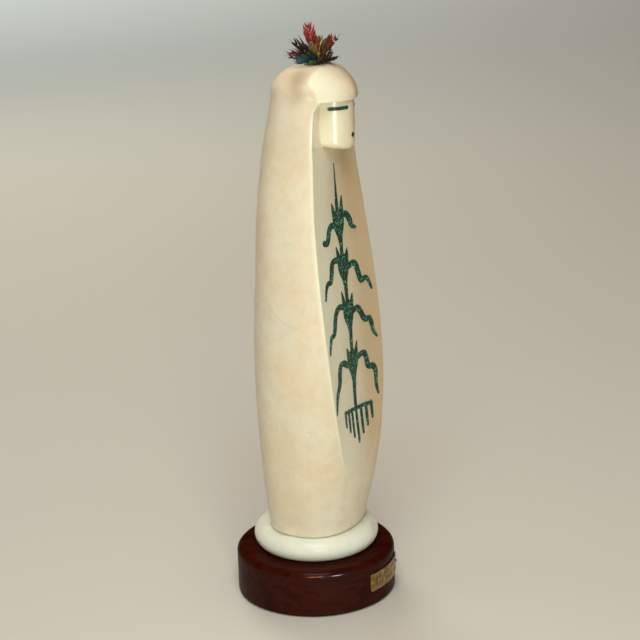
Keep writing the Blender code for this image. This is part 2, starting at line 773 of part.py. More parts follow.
def feather_solid(row, rank):
    """A thin blade on a round quill: flat four-sided rings along a bent line."""
    _, turn, lean, length, width, twist, curl = row
    turn, lean, twist = math.radians(turn), math.radians(lean), math.radians(twist)
    root_turn = 2 * math.pi * (rank + 0.5) / len(feathers) - math.pi
    root_reach = quill_hole_radius - quill_radius - seat_gap
    root_reach *= 0.45 + 0.55 * min(lean / math.radians(60), 1)
    forward = (crown_forward + forward_lean) * figure_height
    mouth = Vector((0, -forward, crown_height))
    foot_depth = quill_hole_depth - quill_foot_gap
    spot = mouth + Vector((math.sin(root_turn), -math.cos(root_turn), 0)) * root_reach
    way = Vector((math.sin(turn), -math.cos(turn), 0))
    reach = way * math.sin(lean) + Vector((0, 0, math.cos(lean)))
    sideways = Vector((-way.y, way.x, 0))
    end = mouth + reach * length * mm + sideways * curl * mm
    bend = spot + Vector((0, 0, (0.12 + 0.3 * math.cos(lean) ** 2) * length * mm))
    bend = bend + way * math.sin(lean) * quill_bow - sideways * curl * curl_share * mm
    rings = []
    places = (-1, 0) + blade_stations
    widths = (0, 0) + blade_widths
    for place, share in zip(places, widths):
        t = max(place, 0)
        point = spot * (1 - t) ** 2 + bend * 2 * t * (1 - t) + end * t**2
        ahead = ((bend - spot) * (1 - t) + (end - bend) * t).normalized()
        if place < 0:
            point = spot - Vector((0, -forward_lean, 1)) * foot_depth
        across = (sideways - ahead * sideways.dot(ahead)).normalized()
        face = across.cross(ahead)
        across = across * math.cos(twist) + face * math.sin(twist)
        face = across.cross(ahead)
        half = max(width * mm / 2 * share, quill_radius if t < 0.5 else tip_half_width)
        flat = min(share * 2, 1)
        thick = quill_radius + (feather_thickness / 2 - quill_radius) * flat
        corners = (across * half, face * thick, -across * half, -face * thick)
        rings.append([point + corner for corner in corners])
    bm = bmesh.new()
    loft(bm, rings)
    return bm


def feather_tuft(materials):
    counts = {}
    ranked = sorted(feathers, key=lambda row: row[1])
    for row in feathers:
        colour = row[0]
        counts[colour] = counts.get(colour, 0) + 1
        name = f"feather_{colour}_{counts[colour]}"
        new_object(name, feather_solid(row, ranked.index(row)), materials[colour])


def main():
    for obj in list(bpy.data.objects):
        bpy.data.objects.remove(obj)
    wood = new_material("wood", (0.13, 0.028, 0.012), 0.35)
    marble = new_material("marble", (0.86, 0.85, 0.80), 0.2)
    alabaster = new_material("alabaster", (0.78, 0.66, 0.48), 0.4)
    green_stone = new_material("green_stone", (0.01, 0.13, 0.09), 0.45)
    dark_stone = new_material("dark_stone", (0.015, 0.012, 0.01), 0.4)
    brass = new_material("brass", (0.62, 0.46, 0.2), 0.35, 1.0)
    colours = {
        "red": (0.45, 0.02, 0.01),
        "rust": (0.28, 0.05, 0.02),
        "ochre": (0.30, 0.14, 0.03),
        "orange": (0.35, 0.10, 0.02),
        "olive": (0.13, 0.09, 0.02),
        "yellow": (0.6, 0.4, 0.06),
        "brown": (0.12, 0.06, 0.03),
        "dark": (0.03, 0.015, 0.012),
        "teal": (0.03, 0.15, 0.2),
        "green": (0.06, 0.22, 0.02),
    }
    plumes = {name: new_material(name + "_feather", c, 0.6) for name, c in colours.items()}
    base = wood_base(wood)
    stone_ring(marble)
    carved_figure(alabaster)
    inlays(green_stone, dark_stone)
    plate = name_plate(brass)
    plate_pins(brass, plate, base)
    feather_tuft(plumes)


main()
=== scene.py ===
import math
import random

import bmesh
import bpy
from mathutils import Matrix, Vector, noise


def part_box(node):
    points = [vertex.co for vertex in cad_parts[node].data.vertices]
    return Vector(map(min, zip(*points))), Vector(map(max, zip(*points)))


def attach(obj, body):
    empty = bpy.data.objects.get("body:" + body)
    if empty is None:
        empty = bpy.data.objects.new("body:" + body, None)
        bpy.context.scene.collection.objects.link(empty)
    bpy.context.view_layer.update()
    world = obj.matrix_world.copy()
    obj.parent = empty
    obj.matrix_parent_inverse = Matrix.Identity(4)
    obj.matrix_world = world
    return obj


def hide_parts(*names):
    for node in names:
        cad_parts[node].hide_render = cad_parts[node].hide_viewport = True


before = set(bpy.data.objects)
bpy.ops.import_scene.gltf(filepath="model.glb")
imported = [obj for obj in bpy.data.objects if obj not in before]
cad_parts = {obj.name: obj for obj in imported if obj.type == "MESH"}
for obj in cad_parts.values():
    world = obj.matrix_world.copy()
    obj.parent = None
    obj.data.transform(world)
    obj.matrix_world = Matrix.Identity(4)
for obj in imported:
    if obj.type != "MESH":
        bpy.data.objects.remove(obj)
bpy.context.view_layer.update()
mm = 0.001
weldGap = 0.004 * mm  # points closer than this become one


# Small helpers used by every piece


def say(text):
    print("corn maiden:", text)


def linear(hexColour):
    parts = [int(hexColour[i:i + 2], 16) / 255 for i in (1, 3, 5)]
    return [p / 12.92 if p <= 0.04045 else ((p + 0.055) / 1.055) ** 2.4 for p in parts] + [1]


def addNode(tree, kind, inputs=None, stops=None, **settings):
    node = tree.nodes.new("ShaderNode" + kind)
    for name, value in settings.items():
        setattr(node, name, value)
    for name, value in (inputs or {}).items():
        if isinstance(value, bpy.types.NodeSocket):
            tree.links.new(value, node.inputs[name])
        else:
            node.inputs[name].default_value = value
    for i, (place, colour) in enumerate(stops or ()):
        if i > 1:
            node.color_ramp.elements.new(place)
        node.color_ramp.elements[i].position = place
        node.color_ramp.elements[i].color = linear(colour)
    return node


def objectPlace(tree):
    return addNode(tree, "TexCoord").outputs["Object"]


def attribute(tree, name):
    return addNode(tree, "Attribute", attribute_name=name).outputs["Fac"]


def noiseAt(tree, place, scale, detail=2.0, roughness=0.5, distortion=0.0):
    return addNode(tree, "TexNoise", {
        "Vector": place, "Scale": scale, "Detail": detail, "Roughness": roughness,
        "Distortion": distortion,
    }).outputs["Fac"]


def ramp(tree, value, stops):
    return addNode(tree, "ValToRGB", {"Fac": value}, stops).outputs["Color"]


def remap(tree, value, low=0.0, high=1.0, least=0.0, most=1.0):
    # low becomes least and high becomes most
    return addNode(tree, "MapRange", {
        "Value": value, "From Min": low, "From Max": high, "To Min": least, "To Max": most,
    }).outputs[0]


def calculate(tree, operation, *values, **settings):
    numbered = dict(enumerate(values))
    return addNode(tree, "Math", numbered, operation=operation, **settings).outputs[0]


def blend(tree, amount, under, over):
    # a hex colour laid over another colour by this amount
    inputs = {0: amount, 6: under, 7: linear(over)}
    return addNode(tree, "Mix", inputs, data_type="RGBA").outputs[2]


def plug(tree, name, socket):
    tree.links.new(socket, tree.nodes["Principled BSDF"].inputs[name])


def addBump(tree, height, strength, distance, **settings):
    inputs = {"Height": height, "Strength": strength, "Distance": distance}
    bump = addNode(tree, "Bump", inputs, **settings)
    plug(tree, "Normal", bump.outputs["Normal"])


def newMaterial(name, **sockets):
    material = bpy.data.materials.new(name)
    material.use_nodes = True
    shader = material.node_tree.nodes["Principled BSDF"]
    for socket, value in sockets.items():
        shader.inputs[socket.replace("_", " ")].default_value = value
    return material, material.node_tree


def newPiece(name, bm, materials, sharpAngle=40):
    bmesh.ops.remove_doubles(bm, verts=bm.verts, dist=weldGap)
    bmesh.ops.recalc_face_normals(bm, faces=bm.faces)
    mesh = bpy.data.meshes.new(name)
    bm.to_mesh(mesh)
    bm.free()
    for material in materials:
        mesh.materials.append(material)
    mesh.shade_smooth()
    mesh.set_sharp_from_angle(angle=math.radians(sharpAngle))
    piece = bpy.data.objects.new(name, mesh)
    bpy.context.scene.collection.objects.link(piece)
    return piece


def settle(piece, slotName, *nodes):
    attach(piece, "root")
    if nodes:
        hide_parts(*nodes)


def gridSheet(bm, columns, rows, placeOf):
    # a flat grid whose points are then moved to their places by column and row
    made = bmesh.ops.create_grid(bm, x_segments=columns, y_segments=rows, size=0.5)["verts"]
    for vert in made:
        column = round((vert.co.x + 0.5) * columns)
        row = round((vert.co.y + 0.5) * rows)
        vert.co = placeOf(column, row)
    return made


def drawOut(bm):
    # joins a second layer to the sheet all round its edge, and gives that layer's points
    drawn = bmesh.ops.extrude_face_region(bm, geom=bm.faces[:])["geom"]
    return [item for item in drawn if isinstance(item, bmesh.types.BMVert)]


def cutAcross(bm, place, normal, nearEnough):
    # new edges where a plane crosses the faces
    everything = bm.verts[:] + bm.edges[:] + bm.faces[:]
    bmesh.ops.bisect_plane(
        bm, geom=everything, dist=nearEnough, plane_co=place, plane_no=normal,
    )


def turnAndMove(bm, turn, place):
    bmesh.ops.rotate(bm, verts=bm.verts, cent=(0, 0, 0), matrix=turn)
    bmesh.ops.translate(bm, verts=bm.verts, vec=place)


def modifiedMesh(piece):
    bm = bmesh.new()
    bm.from_object(piece, bpy.context.evaluated_depsgraph_get())
    return bm


def spinProfile(bm, profile, steps):
    # (radius, height) points turned about Z
    verts = [bm.verts.new((radius, 0, height)) for radius, height in profile]
    edges = [bm.edges.new(pair) for pair in zip(verts, verts[1:])]
    bmesh.ops.spin(
        bm, geom=verts + edges, cent=(0, 0, 0), axis=(0, 0, 1), angle=2 * math.pi,
        steps=steps, use_merge=True, use_duplicate=False,
    )


def quarterArc(middle, radius, startAngle, steps):
    turns = [math.radians(startAngle + 90 * i / steps) for i in range(steps + 1)]
    return [(middle[0] + radius * math.cos(a), middle[1] + radius * math.sin(a)) for a in turns]


def wayTo(azimuth, elevation):
    # the direction at this azimuth, from her front towards her left, and elevation in degrees
    a, e = math.radians(azimuth), math.radians(elevation)
    return Vector((math.sin(a) * math.cos(e), -math.cos(a) * math.cos(e), math.sin(e)))


# Camera, floor and lights

view = {
    "focal": 112.5, "distance": 1.9685, "azimuth": -61.5, "elevation": 17.6, "roll": 2.0,
    "aimSide": 0.0124, "aimHeight": 0.28385, "clip": (0.05, 60),
}


def addCamera():
    azimuth, roll = math.radians(view["azimuth"]), math.radians(view["roll"])
    back = wayTo(view["azimuth"], view["elevation"])
    level = Vector((math.cos(azimuth), math.sin(azimuth), 0))
    upright = back.cross(level)
    right = level * math.cos(roll) - upright * math.sin(roll)
    up = level * math.sin(roll) + upright * math.cos(roll)
    data = bpy.data.cameras.new("photoCamera")
    data.lens = view["focal"]
    data.clip_start, data.clip_end = view["clip"]
    camera = bpy.data.objects.new("photoCamera", data)
    bpy.context.scene.collection.objects.link(camera)
    place = Vector((0, 0, view["aimHeight"])) + right * view["aimSide"] + back * view["distance"]
    turn = Matrix((right, up, back)).transposed()
    camera.matrix_world = Matrix.Translation(place) @ turn.to_4x4()
    bpy.context.scene.camera = camera
    bpy.context.scene.view_settings.view_transform = "Standard"


# name: azimuth and elevation it shines from, distance, point it shines at, width, height,
# watts, colour
lights = {
    "key": (-62, 50, 2.4, (0, 0, 0.3), 1.2, 1.0, 27, "#f6fff6"),
    "ceiling": (-60, 80, 2.4, (0, 0, 0.3), 1.6, 1.6, 25, "#ffe8da"),
    "coolSide": (-88, 36, 2.2, (0, 0, 0.3), 1.4, 1.0, 1, "#b4f0ff"),
    "leftBack": (-145, 30, 2.4, (0, 0, 0.3), 1.2, 1.2, 3, "#ecd8ff"),
    "back": (140, 30, 2.6, (0, 0, 0.3), 1.4, 1.4, 16, "#fff4da"),
    "warmFront": (-20, 25, 2.4, (0, 0, 0.3), 1.2, 1.2, 1, "#ffa078"),
    "strip": (-56, -3, 1.3, (0, 0, 0.35), 0.14, 0.36, 5, "#f6fff6"),
    "farLeft": (118, 75, 3.0, (2.8, 3.4, 0), 3.0, 2.0, 125, "#e8fbff"),
    "farRight": (118, 75, 3.0, (4.2, 0.9, 0), 3.0, 2.0, 14, "#ffb488"),
    "lamp": (-66.8, 10, 2.2, (0, 0, 0.05), 0.5, 0.16, 60, "#ff8a3c"),
    "window": (-34, 6, 2.2, (0, 0, 0.05), 0.4, 0.3, 60, "#eaf2ff"),
}
woodLights = ("lamp", "window")  # these only make the pair of highlights on the wood
mirroredLights = ("key", "strip") + woodLights
worldLight = {"colour": "#e8e4dc", "strength": 0.02}


def addLights():
    world = bpy.data.worlds.new("softRoom")
    bpy.context.scene.world = world
    world.use_nodes = True
    background = world.node_tree.nodes["Background"]
    background.inputs["Color"].default_value = linear(worldLight["colour"])
    background.inputs["Strength"].default_value = worldLight["strength"]
    for name, (azimuth, elevation, distance, aim, width, height, watts, colour) in lights.items():
        data = bpy.data.lights.new(name, "AREA")
        data.shape = "RECTANGLE"
        data.size, data.size_y = width, height
        data.energy = watts
        data.color = linear(colour)[:3]
        light = bpy.data.objects.new(name, data)
        bpy.context.scene.collection.objects.link(light)
        way = wayTo(azimuth, elevation)
        light.location = Vector(aim) + way * distance
        light.rotation_euler = way.to_track_quat("Z", "Y").to_euler()
        light.visible_camera = False
        light.visible_glossy = name in mirroredLights
        light.visible_diffuse = name not in woodLights


def linkLight(name, pieceNames):
    # these pieces alone mirror the light
    receivers = bpy.data.collections.new(name + "Receivers")
    for pieceName in pieceNames:
        receivers.objects.link(bpy.data.objects[pieceName])
    bpy.data.objects[name].light_linking.receiver_collection = receivers


floorBoard = {"half": 14, "parts": 4, "colour": "#d6d2c8", "roughness": 0.6}


def addFloor():
    # Painted board, matt: pale and plain.
    material, _ = newMaterial(
        "paintedBoardMatt", Roughness=floorBoard["roughness"],
        Base_Color=linear(floorBoard["colour"]),
    )
    bm = bmesh.new()
    parts = floorBoard["parts"]
    bmesh.ops.create_grid(bm, x_segments=parts, y_segments=parts, size=floorBoard["half"])
    floor = newPiece("floor", bm, [material])


# The carved figure

figureLow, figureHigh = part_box("figure")
figureFoot = figureLow.z
figureHeight = figureHigh.z - figureLow.z

# every form of the figure is a share of her height
figure = {
    "footHalfWidth": 0.1103, "backFullness": 2.3, "chin": 0.836, "fringe": 0.9315, "dome": 0.940,
    "domeFullness": 2.25, "browFullness": 1.6, "crownForward": 0.037, "lean": 0.010,
    "faceForward": 0.057, "faceHalfWidth": 0.04394, "faceDepth": 0.05552, "chinRound": 0.01179,
    "chinDrop": 0.00643, "lipRound": 0.0045, "fringeRise": 0.005, "riseFrom": 0.89,
    "fadeTop": 0.20, "fade": 0.012, "ridgeRound": 0.0022, "openingTop": 0.077,
    "openingCorner": 0.021, "narrowestFront": 0.064, "hollowFoot": 0.15, "hollowFull": 0.29,
    "footEdge": 0.006, "holeRadius": 0.0120, "holeDepth": 0.02787, "unevenness": 0.0004,
    "wallRise": (-0.035, 0.01), "wallWidth": 0.016, "fadeFoot": 0.13, "chinGap": 0.0006,
    "lipGap": 0.0003,
}

# height, half width, how far forward the widest line is, depth behind and before it, how far
# forward the front panel is, how hollow it is, and the fullness of the front
stations = (
    (0.000, figure["footHalfWidth"], 0.008, 0.0938, 0.0938, 0.1350, 0.0065, 2.3),
    (0.135, 0.1349, 0.018, 0.1148, 0.1148, 0.1225, 0.0065, 2.3),
    (0.270, 0.1484, 0.024, 0.1261, 0.1261, 0.1186, 0.0085, 2.3),
    (0.380, 0.1516, 0.025, 0.1289, 0.1289, 0.1122, 0.0077, 2.3),
    (0.490, 0.1473, 0.024, 0.1253, 0.1253, 0.1013, 0.0064, 2.3),
    (0.600, 0.1381, 0.0206, 0.1169, 0.1169, 0.0884, 0.0054, 2.3),
    (0.700, 0.1266, 0.0152, 0.1073, 0.1073, 0.0771, 0.0047, 2.3),
    (0.810, 0.1105, 0.0128, 0.0942, 0.0942, 0.0688, 0.0045, 2.3),
    (0.862, 0.1071, 0.0210, 0.0934, 0.0934, 0.0698, 0.0118, 2.3),
    (0.910, 0.1028, 0.0278, 0.0899, 0.0921, 0.0713, 0.0130, 2.0),
    (0.940, 0.0989, 0.0268, 0.0831, 0.0910, 0.0720, 0.0130, 1.7),
)


def stationAt(share):
    last = len(stations) - 1
    i = max(j for j in range(last) if stations[j][0] <= share or j == 0)
    before, low = stations[max(i - 1, 0)], stations[i]
    high, after = stations[i + 1], stations[min(i + 2, last)]
    span = high[0] - low[0]
    t = min(max((share - low[0]) / span, 0), 1)
    values = []
    for column in range(1, len(low)):
        riseLow = (high[column] - before[column]) / (high[0] - before[0]) * span
        riseHigh = (after[column] - low[column]) / (after[0] - low[0]) * span
        values.append(
            (2 * t**3 - 3 * t**2 + 1) * low[column] + (t**3 - 2 * t**2 + t) * riseLow
            + (3 * t**2 - 2 * t**3) * high[column] + (t**3 - t**2) * riseHigh
        )
    return values


def smoothStep(low, high, value):
    t = min(max((value - low) / (high - low), 0), 1)
    return t * t * (3 - 2 * t)


def softerOf(a, b, softness):
    # the smaller of the two, rounded off where they cross
    h = min(max(0.5 + 0.5 * (b - a) / softness, 0), 1)
    return b + (a - b) * h - softness * h * (1 - h)


def rounded(value, fullness):
    return math.copysign(abs(value) ** (2 / fullness), value)


def panelHalfWidth(share):
    halfWidth, middle, _, front, panel, _, fullness = stationAt(share)
    reach = min(max((panel - middle) / front, 0), 1)
    cut = halfWidth * (1 - reach**fullness) ** (1 / fullness)
    closing = min(max((share - figure["fringe"]) / figure["openingCorner"] + 1, 0), 1)
    cut += (figure["openingTop"] - cut) * (1 - math.sqrt(1 - closing**2))
    return max(cut, figure["narrowestFront"])


def bodyFront(share, x):
    halfWidth, middle, _, front, _, _, fullness = stationAt(share)
    inside = max(1 - (abs(x) / halfWidth) ** fullness, 0)
    return middle + front * inside ** (1 / fullness)


def fringeLift(share, place):
    # the fringe and the opening under it are higher at the sides than over the nose
    return figure["fringeRise"] * place**2 * smoothStep(figure["riseFrom"], figure["fringe"], share)


def leanForward(point):
    return Vector((point[0], point[1] - figure["lean"] * (point[2] - figureFoot), point[2]))


def crownPlace(height):
    # the middle of the quill hole at this height
    return leanForward((0, -figure["crownForward"] * figureHeight, height))


def frontSurface(share, x):
    # how far forward the front stands: the dished panel, cut out of the rounded body
    panel, hollow = stationAt(share)[4:6]
    width = panelHalfWidth(share)
    dish = hollow * max(1 - (x / width) ** 2, 0)
    dish *= smoothStep(figure["hollowFoot"], figure["hollowFull"], share)
    inner = panel - dish
    # beside the face the side of the opening climbs to the ridge
    wall = max(bodyFront(share, width) - panel, 0)
    wall *= smoothStep(*figure["wallRise"], share - figure["chin"])
    inner += wall * max(1 - (width - abs(x)) / figure["wallWidth"], 0) ** 2
    softness = figure["fade"] * (1 - smoothStep(figure["fadeFoot"], figure["fadeTop"], share))
    return softerOf(inner, bodyFront(share, x), max(softness, figure["ridgeRound"]))


fineness = {
    "sides": 96, "face": 44, "body": 118, "chin": 9, "faceRows": 26, "lip": 7, "dome": 26,
    "domeEnd": 0.985,
    # shares of the way from one form to the next at which rings lie
    "footRound": (1, 0.7, 0.4, 0.15, 0), "underChin": (0.04, 0.12, 0.25, 0.45, 0.7, 0.88),
    "underFringe": (0.03, 0.1, 0.25, 0.5, 0.75, 0.92), "fringe": (0.35, 0.7, 1),
    "hole": (0, 0.02, 0.5, 1),
}
# from each ridge to the face's side, and where the sides are closer set beside the ridges
stripShares = (
    0, 0.005, 0.011, 0.019, 0.030, 0.048, 0.08, 0.13, 0.19, 0.26, 0.34, 0.42, 0.50, 0.58, 0.66,
    0.74, 0.81, 0.87, 0.915, 0.95, 0.972, 0.988,
)
sideDense = (0.0012, 0.0028, 0.0048, 0.0075)


def frontPlaces():
    # across the front as shares of its half width, closer set at the ridges and the face's sides
    foot = figure["faceHalfWidth"] / panelHalfWidth(figure["chin"])
    strip = [1 + (foot - 1) * share for share in stripShares]
    face = [
        -foot * math.cos(math.pi * i / fineness["face"]) for i in range(fineness["face"] + 1)
    ]
    return [-x for x in strip] + face + strip[::-1]


places = frontPlaces()
strip = len(stripShares)
sideShares = sorted(
    [i / fineness["sides"] for i in range(1, fineness["sides"])]
    + list(sideDense) + [1 - share for share in sideDense]
)


def sideRing(start, halfWidth, middle, back, front, fullness, backFullness):
    # (x, forward) points from her left ridge round the back to her right one
    points = []
    for share in sideShares:
        angle = start + (2 * math.pi - 2 * start) * share
        sine, cosine = math.sin(angle), math.cos(angle)
        full = fullness if cosine > 0 else backFullness
        depth = front if cosine > 0 else back
        points.append((halfWidth * rounded(sine, full), middle + depth * rounded(cosine, full)))
    return points


def bodyRing(share, inset=0.0):
    halfWidth, middle, back, front, _, _, fullness = stationAt(share)
    width = panelHalfWidth(share)
    ring = []
    for place in places:
        x = place * width
        ring.append((x, frontSurface(share, x), share + fringeLift(share, place)))
    start = math.asin(min((width / halfWidth) ** (fullness / 2), 1))
    for x, y in sideRing(start, halfWidth, middle, back, front, fullness, figure["backFullness"]):
        if y > middle and abs(x) < halfWidth:
            y = min(y, frontSurface(share, x))
        ring.append((x, y, share))
    size = 1 - inset / halfWidth
    return [[x * size, middle + (y - middle) * size, z] for x, y, z in ring]


def faceRing(share, inset, drop=0.0):
    # a body ring with the face standing out of the panel
    ring = bodyRing(share)
    width = panelHalfWidth(share)
    edge = figure["faceHalfWidth"] - inset
    for i in range(strip, strip + fineness["face"] + 1):
        turn = math.pi * (i - strip) / fineness["face"]
        x = -edge * math.cos(turn)
        y = figure["faceForward"] + (figure["faceDepth"] - inset) * math.sin(turn)
        z = ring[i][2] - drop * math.sin(turn) ** 2
        ring[i] = [x, max(y, frontSurface(share, x)), z]
    for i in range(1, strip):
        for side, index in ((-1, i), (1, len(places) - 1 - i)):
            x = side * (width + (edge - width) * stripShares[i])
            ring[index] = [x, frontSurface(share, x), ring[index][2]]
    return ring


def betweenRings(low, high, part):
    return [[a + (b - a) * part for a, b in zip(p, q)] for p, q in zip(low, high)]


def fringeRing(share, inset=0.0):
    # the fringe over the face, its lower edge drawn in by inset to round it off
    ring = bodyRing(share)
    width = panelHalfWidth(figure["fringe"])
    rise = figure["fringeRise"] * (figure["dome"] - share) / (figure["dome"] - figure["fringe"])
    for i, place in enumerate(places):
        x = place * width
        y = bodyFront(share, x) - inset * (1 - place**6)
        ring[i] = [x, y, share + rise * place**2]
    return ring


def domeRing(size, brow, share):
    # the head above the fringe, closing in to the round quill hole as size and, in front, brow
    # go to 0; a fullness of 2 is round
    halfWidth, middle, back, front, _, _, fullness = stations[-1][1:]
    hole = figure["holeRadius"]
    width = figure["openingTop"] / halfWidth
    halfWidth = halfWidth * size + hole * (1 - size)
    back = back * size + hole * (1 - size)
    front = front * brow + hole * (1 - brow)
    middle = middle * size + figure["crownForward"] * (1 - size)
    fullness = fullness * size + 2 * (1 - size)
    backFullness = figure["backFullness"] * size + 2 * (1 - size)
    ring = []
    for place in places:
        x = place * width
        y = middle + front * (1 - abs(x) ** fullness) ** (1 / fullness)
        ring.append([x * halfWidth, y, share])
    start = math.asin(width ** (fullness / 2))
    for x, y in sideRing(start, halfWidth, middle, back, front, fullness, backFullness):
        ring.append([x, y, share])
    return ring


def figureRings():
    edge, chinRound, chinDrop = figure["footEdge"], figure["chinRound"], figure["chinDrop"]
    chin, fringe, dome = figure["chin"], figure["fringe"], figure["dome"]
    rings = [
        bodyRing(edge * (1 - math.sqrt(1 - (1 - part) ** 2)), edge * part**1.5)
        for part in fineness["footRound"]
    ]
    count = fineness["body"]
    rings += [bodyRing(edge + (chin - edge) * i / count) for i in range(1, count + 1)]
    chinLow = chin + figure["chinGap"]
    neck, under = rings[-1], faceRing(chinLow, chinRound, chinDrop)
    rings += [betweenRings(neck, under, part) for part in fineness["underChin"]]
    for i in range(fineness["chin"] + 1):
        turn = math.pi / 2 * i / fineness["chin"]
        rise = chinRound * (1 - math.cos(turn))
        rings.append(faceRing(chinLow + rise, chinRound * (1 - math.sin(turn)), chinDrop))
    faceLow = chin + chinRound
    count = fineness["faceRows"]
    for i in range(1, count + 1):
        part = 1 - (1 - i / count) ** 1.5
        rings.append(faceRing(faceLow + (fringe - faceLow) * part, 0, chinDrop * (1 - part)))
    low, lip = fringe + figure["lipGap"], figure["lipRound"]
    inner, outer = rings[-1], fringeRing(low, lip)
    rings += [betweenRings(inner, outer, part) for part in fineness["underFringe"]]
    for i in range(fineness["lip"] + 1):
        turn = math.pi / 2 * i / fineness["lip"]
        rings.append(fringeRing(low + lip * (1 - math.cos(turn)), lip * (1 - math.sin(turn))))
    rings += [fringeRing(low + lip + (dome - low - lip) * part) for part in fineness["fringe"]]
    for i in range(1, fineness["dome"] + 1):
        turn = math.pi / 2 * i / fineness["dome"] * fineness["domeEnd"]
        size = math.cos(turn) ** (2 / figure["domeFullness"])
        lift = math.sin(turn) ** (2 / figure["domeFullness"])
        brow = (1 - lift ** figure["browFullness"]) ** (1 / figure["browFullness"])
        rings.append(domeRing(size, brow, dome + (1 - dome) * lift))
    return rings + [domeRing(0, 0, 1 - figure["holeDepth"] * part) for part in fineness["hole"]]


surface = {
    # marks: a spot in mm, and the distances from it at which the mark is whole and ends
    "combed": ((-44, -21, 514), 4, 19),
    "arcOuter": ((-68, -37, 351.3), 54.9, 55.6), "arcInner": ((-68, -37, 351.3), 53.8, 54.5),
    "arcPart": ((-68, -12, 305), 15, 27), "chip": ((-66, -31.3, 190.8), 0.4, 1.1),
    "combScale": 209.0, "combWobble": 2.0, "combWeight": 0.3, "arcWeight": 0.35,
    "combColour": "#c0a47c", "arcColour": "#d2bb94", "chipColour": "#fffdf6",
    # where hands have darkened the wax: a spot in mm, how far it reaches and how dark it is
    "stains": (
        ((-39.6, -20.7, 528.2), 10, 0.5), ((-31.5, -17.7, 536.1), 9, 0.35),
        ((-44.3, -23.3, 517.3), 8, 0.3),
    ),
    "clouds": ((0.32, "#f3e8cf"), (0.50, "#f1e2c6"), (0.68, "#efdbba")),
    # besides the cloud tones: a stain colour that also paints shade under the fringe, and the
    # colours of painted light and painted shade on the hollowed front
    "pinker": "#e3c19c", "greyer": "#dcd6bc", "stainAndShadeColour": "#a08054", "paintedLight": "#fff5da",
    "paintedShade": "#d9b98c", "sandedRoughness": 0.48, "polishedRoughness": 0.25,
    "rub": (-0.05, 0.06),  # how much the sanding marks fade with the polish, and their strength
    # where the painted light and painted shade of the hollowed front set in: before the panel, past
    # its ridges and up from her foot, then across it for the painted shade and for the painted
    # light
    "inFront": (-0.024, -0.014), "pastRidge": (0.99, 1.04), "aboveFoot": (0.08, 0.24),
    "footTone": 0.25, "shadeAcross": (-0.05, 0.6), "lightAcross": (-0.75, 0.05),
    # uneven carving, its waves per metre, and none of it at her foot and on her head
    "slowWaves": 16, "fastWaves": 37, "wavesAbout": 0.02, "evenFoot": (0, 0.03),
    "evenHead": (0.93, 0.97),
    # polish on the face and the fringe, and the painted shade in the crease under the fringe, by
    # shares of her height
    "faceUp": (0.815, 0.845), "faceForward": (0.060, 0.072), "fringeUp": (0.93, 0.94),
    "fringeForward": (0.03, 0.11), "creaseUp": (0.925, 0.931), "creaseEnd": (0.9312, 0.934),
    "creaseForward": (0.05, 0.06), "creaseFade": 1.9, "creaseShade": 0.35,
}


def nearPoint(tree, place, spot, whole, gone):
    # 1 where the distance to spot is under whole, 0 where it is over gone, all in mm
    away = addNode(tree, "VectorMath", {0: place, 1: Vector(spot) * mm}, operation="DISTANCE")
    return remap(tree, away.outputs["Value"], whole * mm, gone * mm, 1.0, 0.0)


def addMarks(tree, place, colour):
    # faint combed lines 1.5 mm apart in the hair over her right ear, an arc scratched in the
    # mantle and a tiny white chip
    lines = addNode(
        tree, "TexWave",
        {"Vector": place, "Scale": surface["combScale"], "Distortion": surface["combWobble"]},
        bands_direction="Z",
    )
    combed = nearPoint(tree, place, *surface["combed"])
    combed = calculate(tree, "MULTIPLY", lines.outputs["Fac"], combed)
    combed = calculate(tree, "MULTIPLY", combed, surface["combWeight"])
    colour = blend(tree, combed, colour, surface["combColour"])
    outer = nearPoint(tree, place, *surface["arcOuter"])
    inner = nearPoint(tree, place, *surface["arcInner"])
    arc = calculate(tree, "SUBTRACT", outer, inner)
    arc = calculate(tree, "MULTIPLY", arc, nearPoint(tree, place, *surface["arcPart"]))
    arc = calculate(tree, "MULTIPLY", arc, surface["arcWeight"])
    colour = blend(tree, arc, colour, surface["arcColour"])
    chip = nearPoint(tree, place, *surface["chip"])
    return blend(tree, chip, colour, surface["chipColour"])


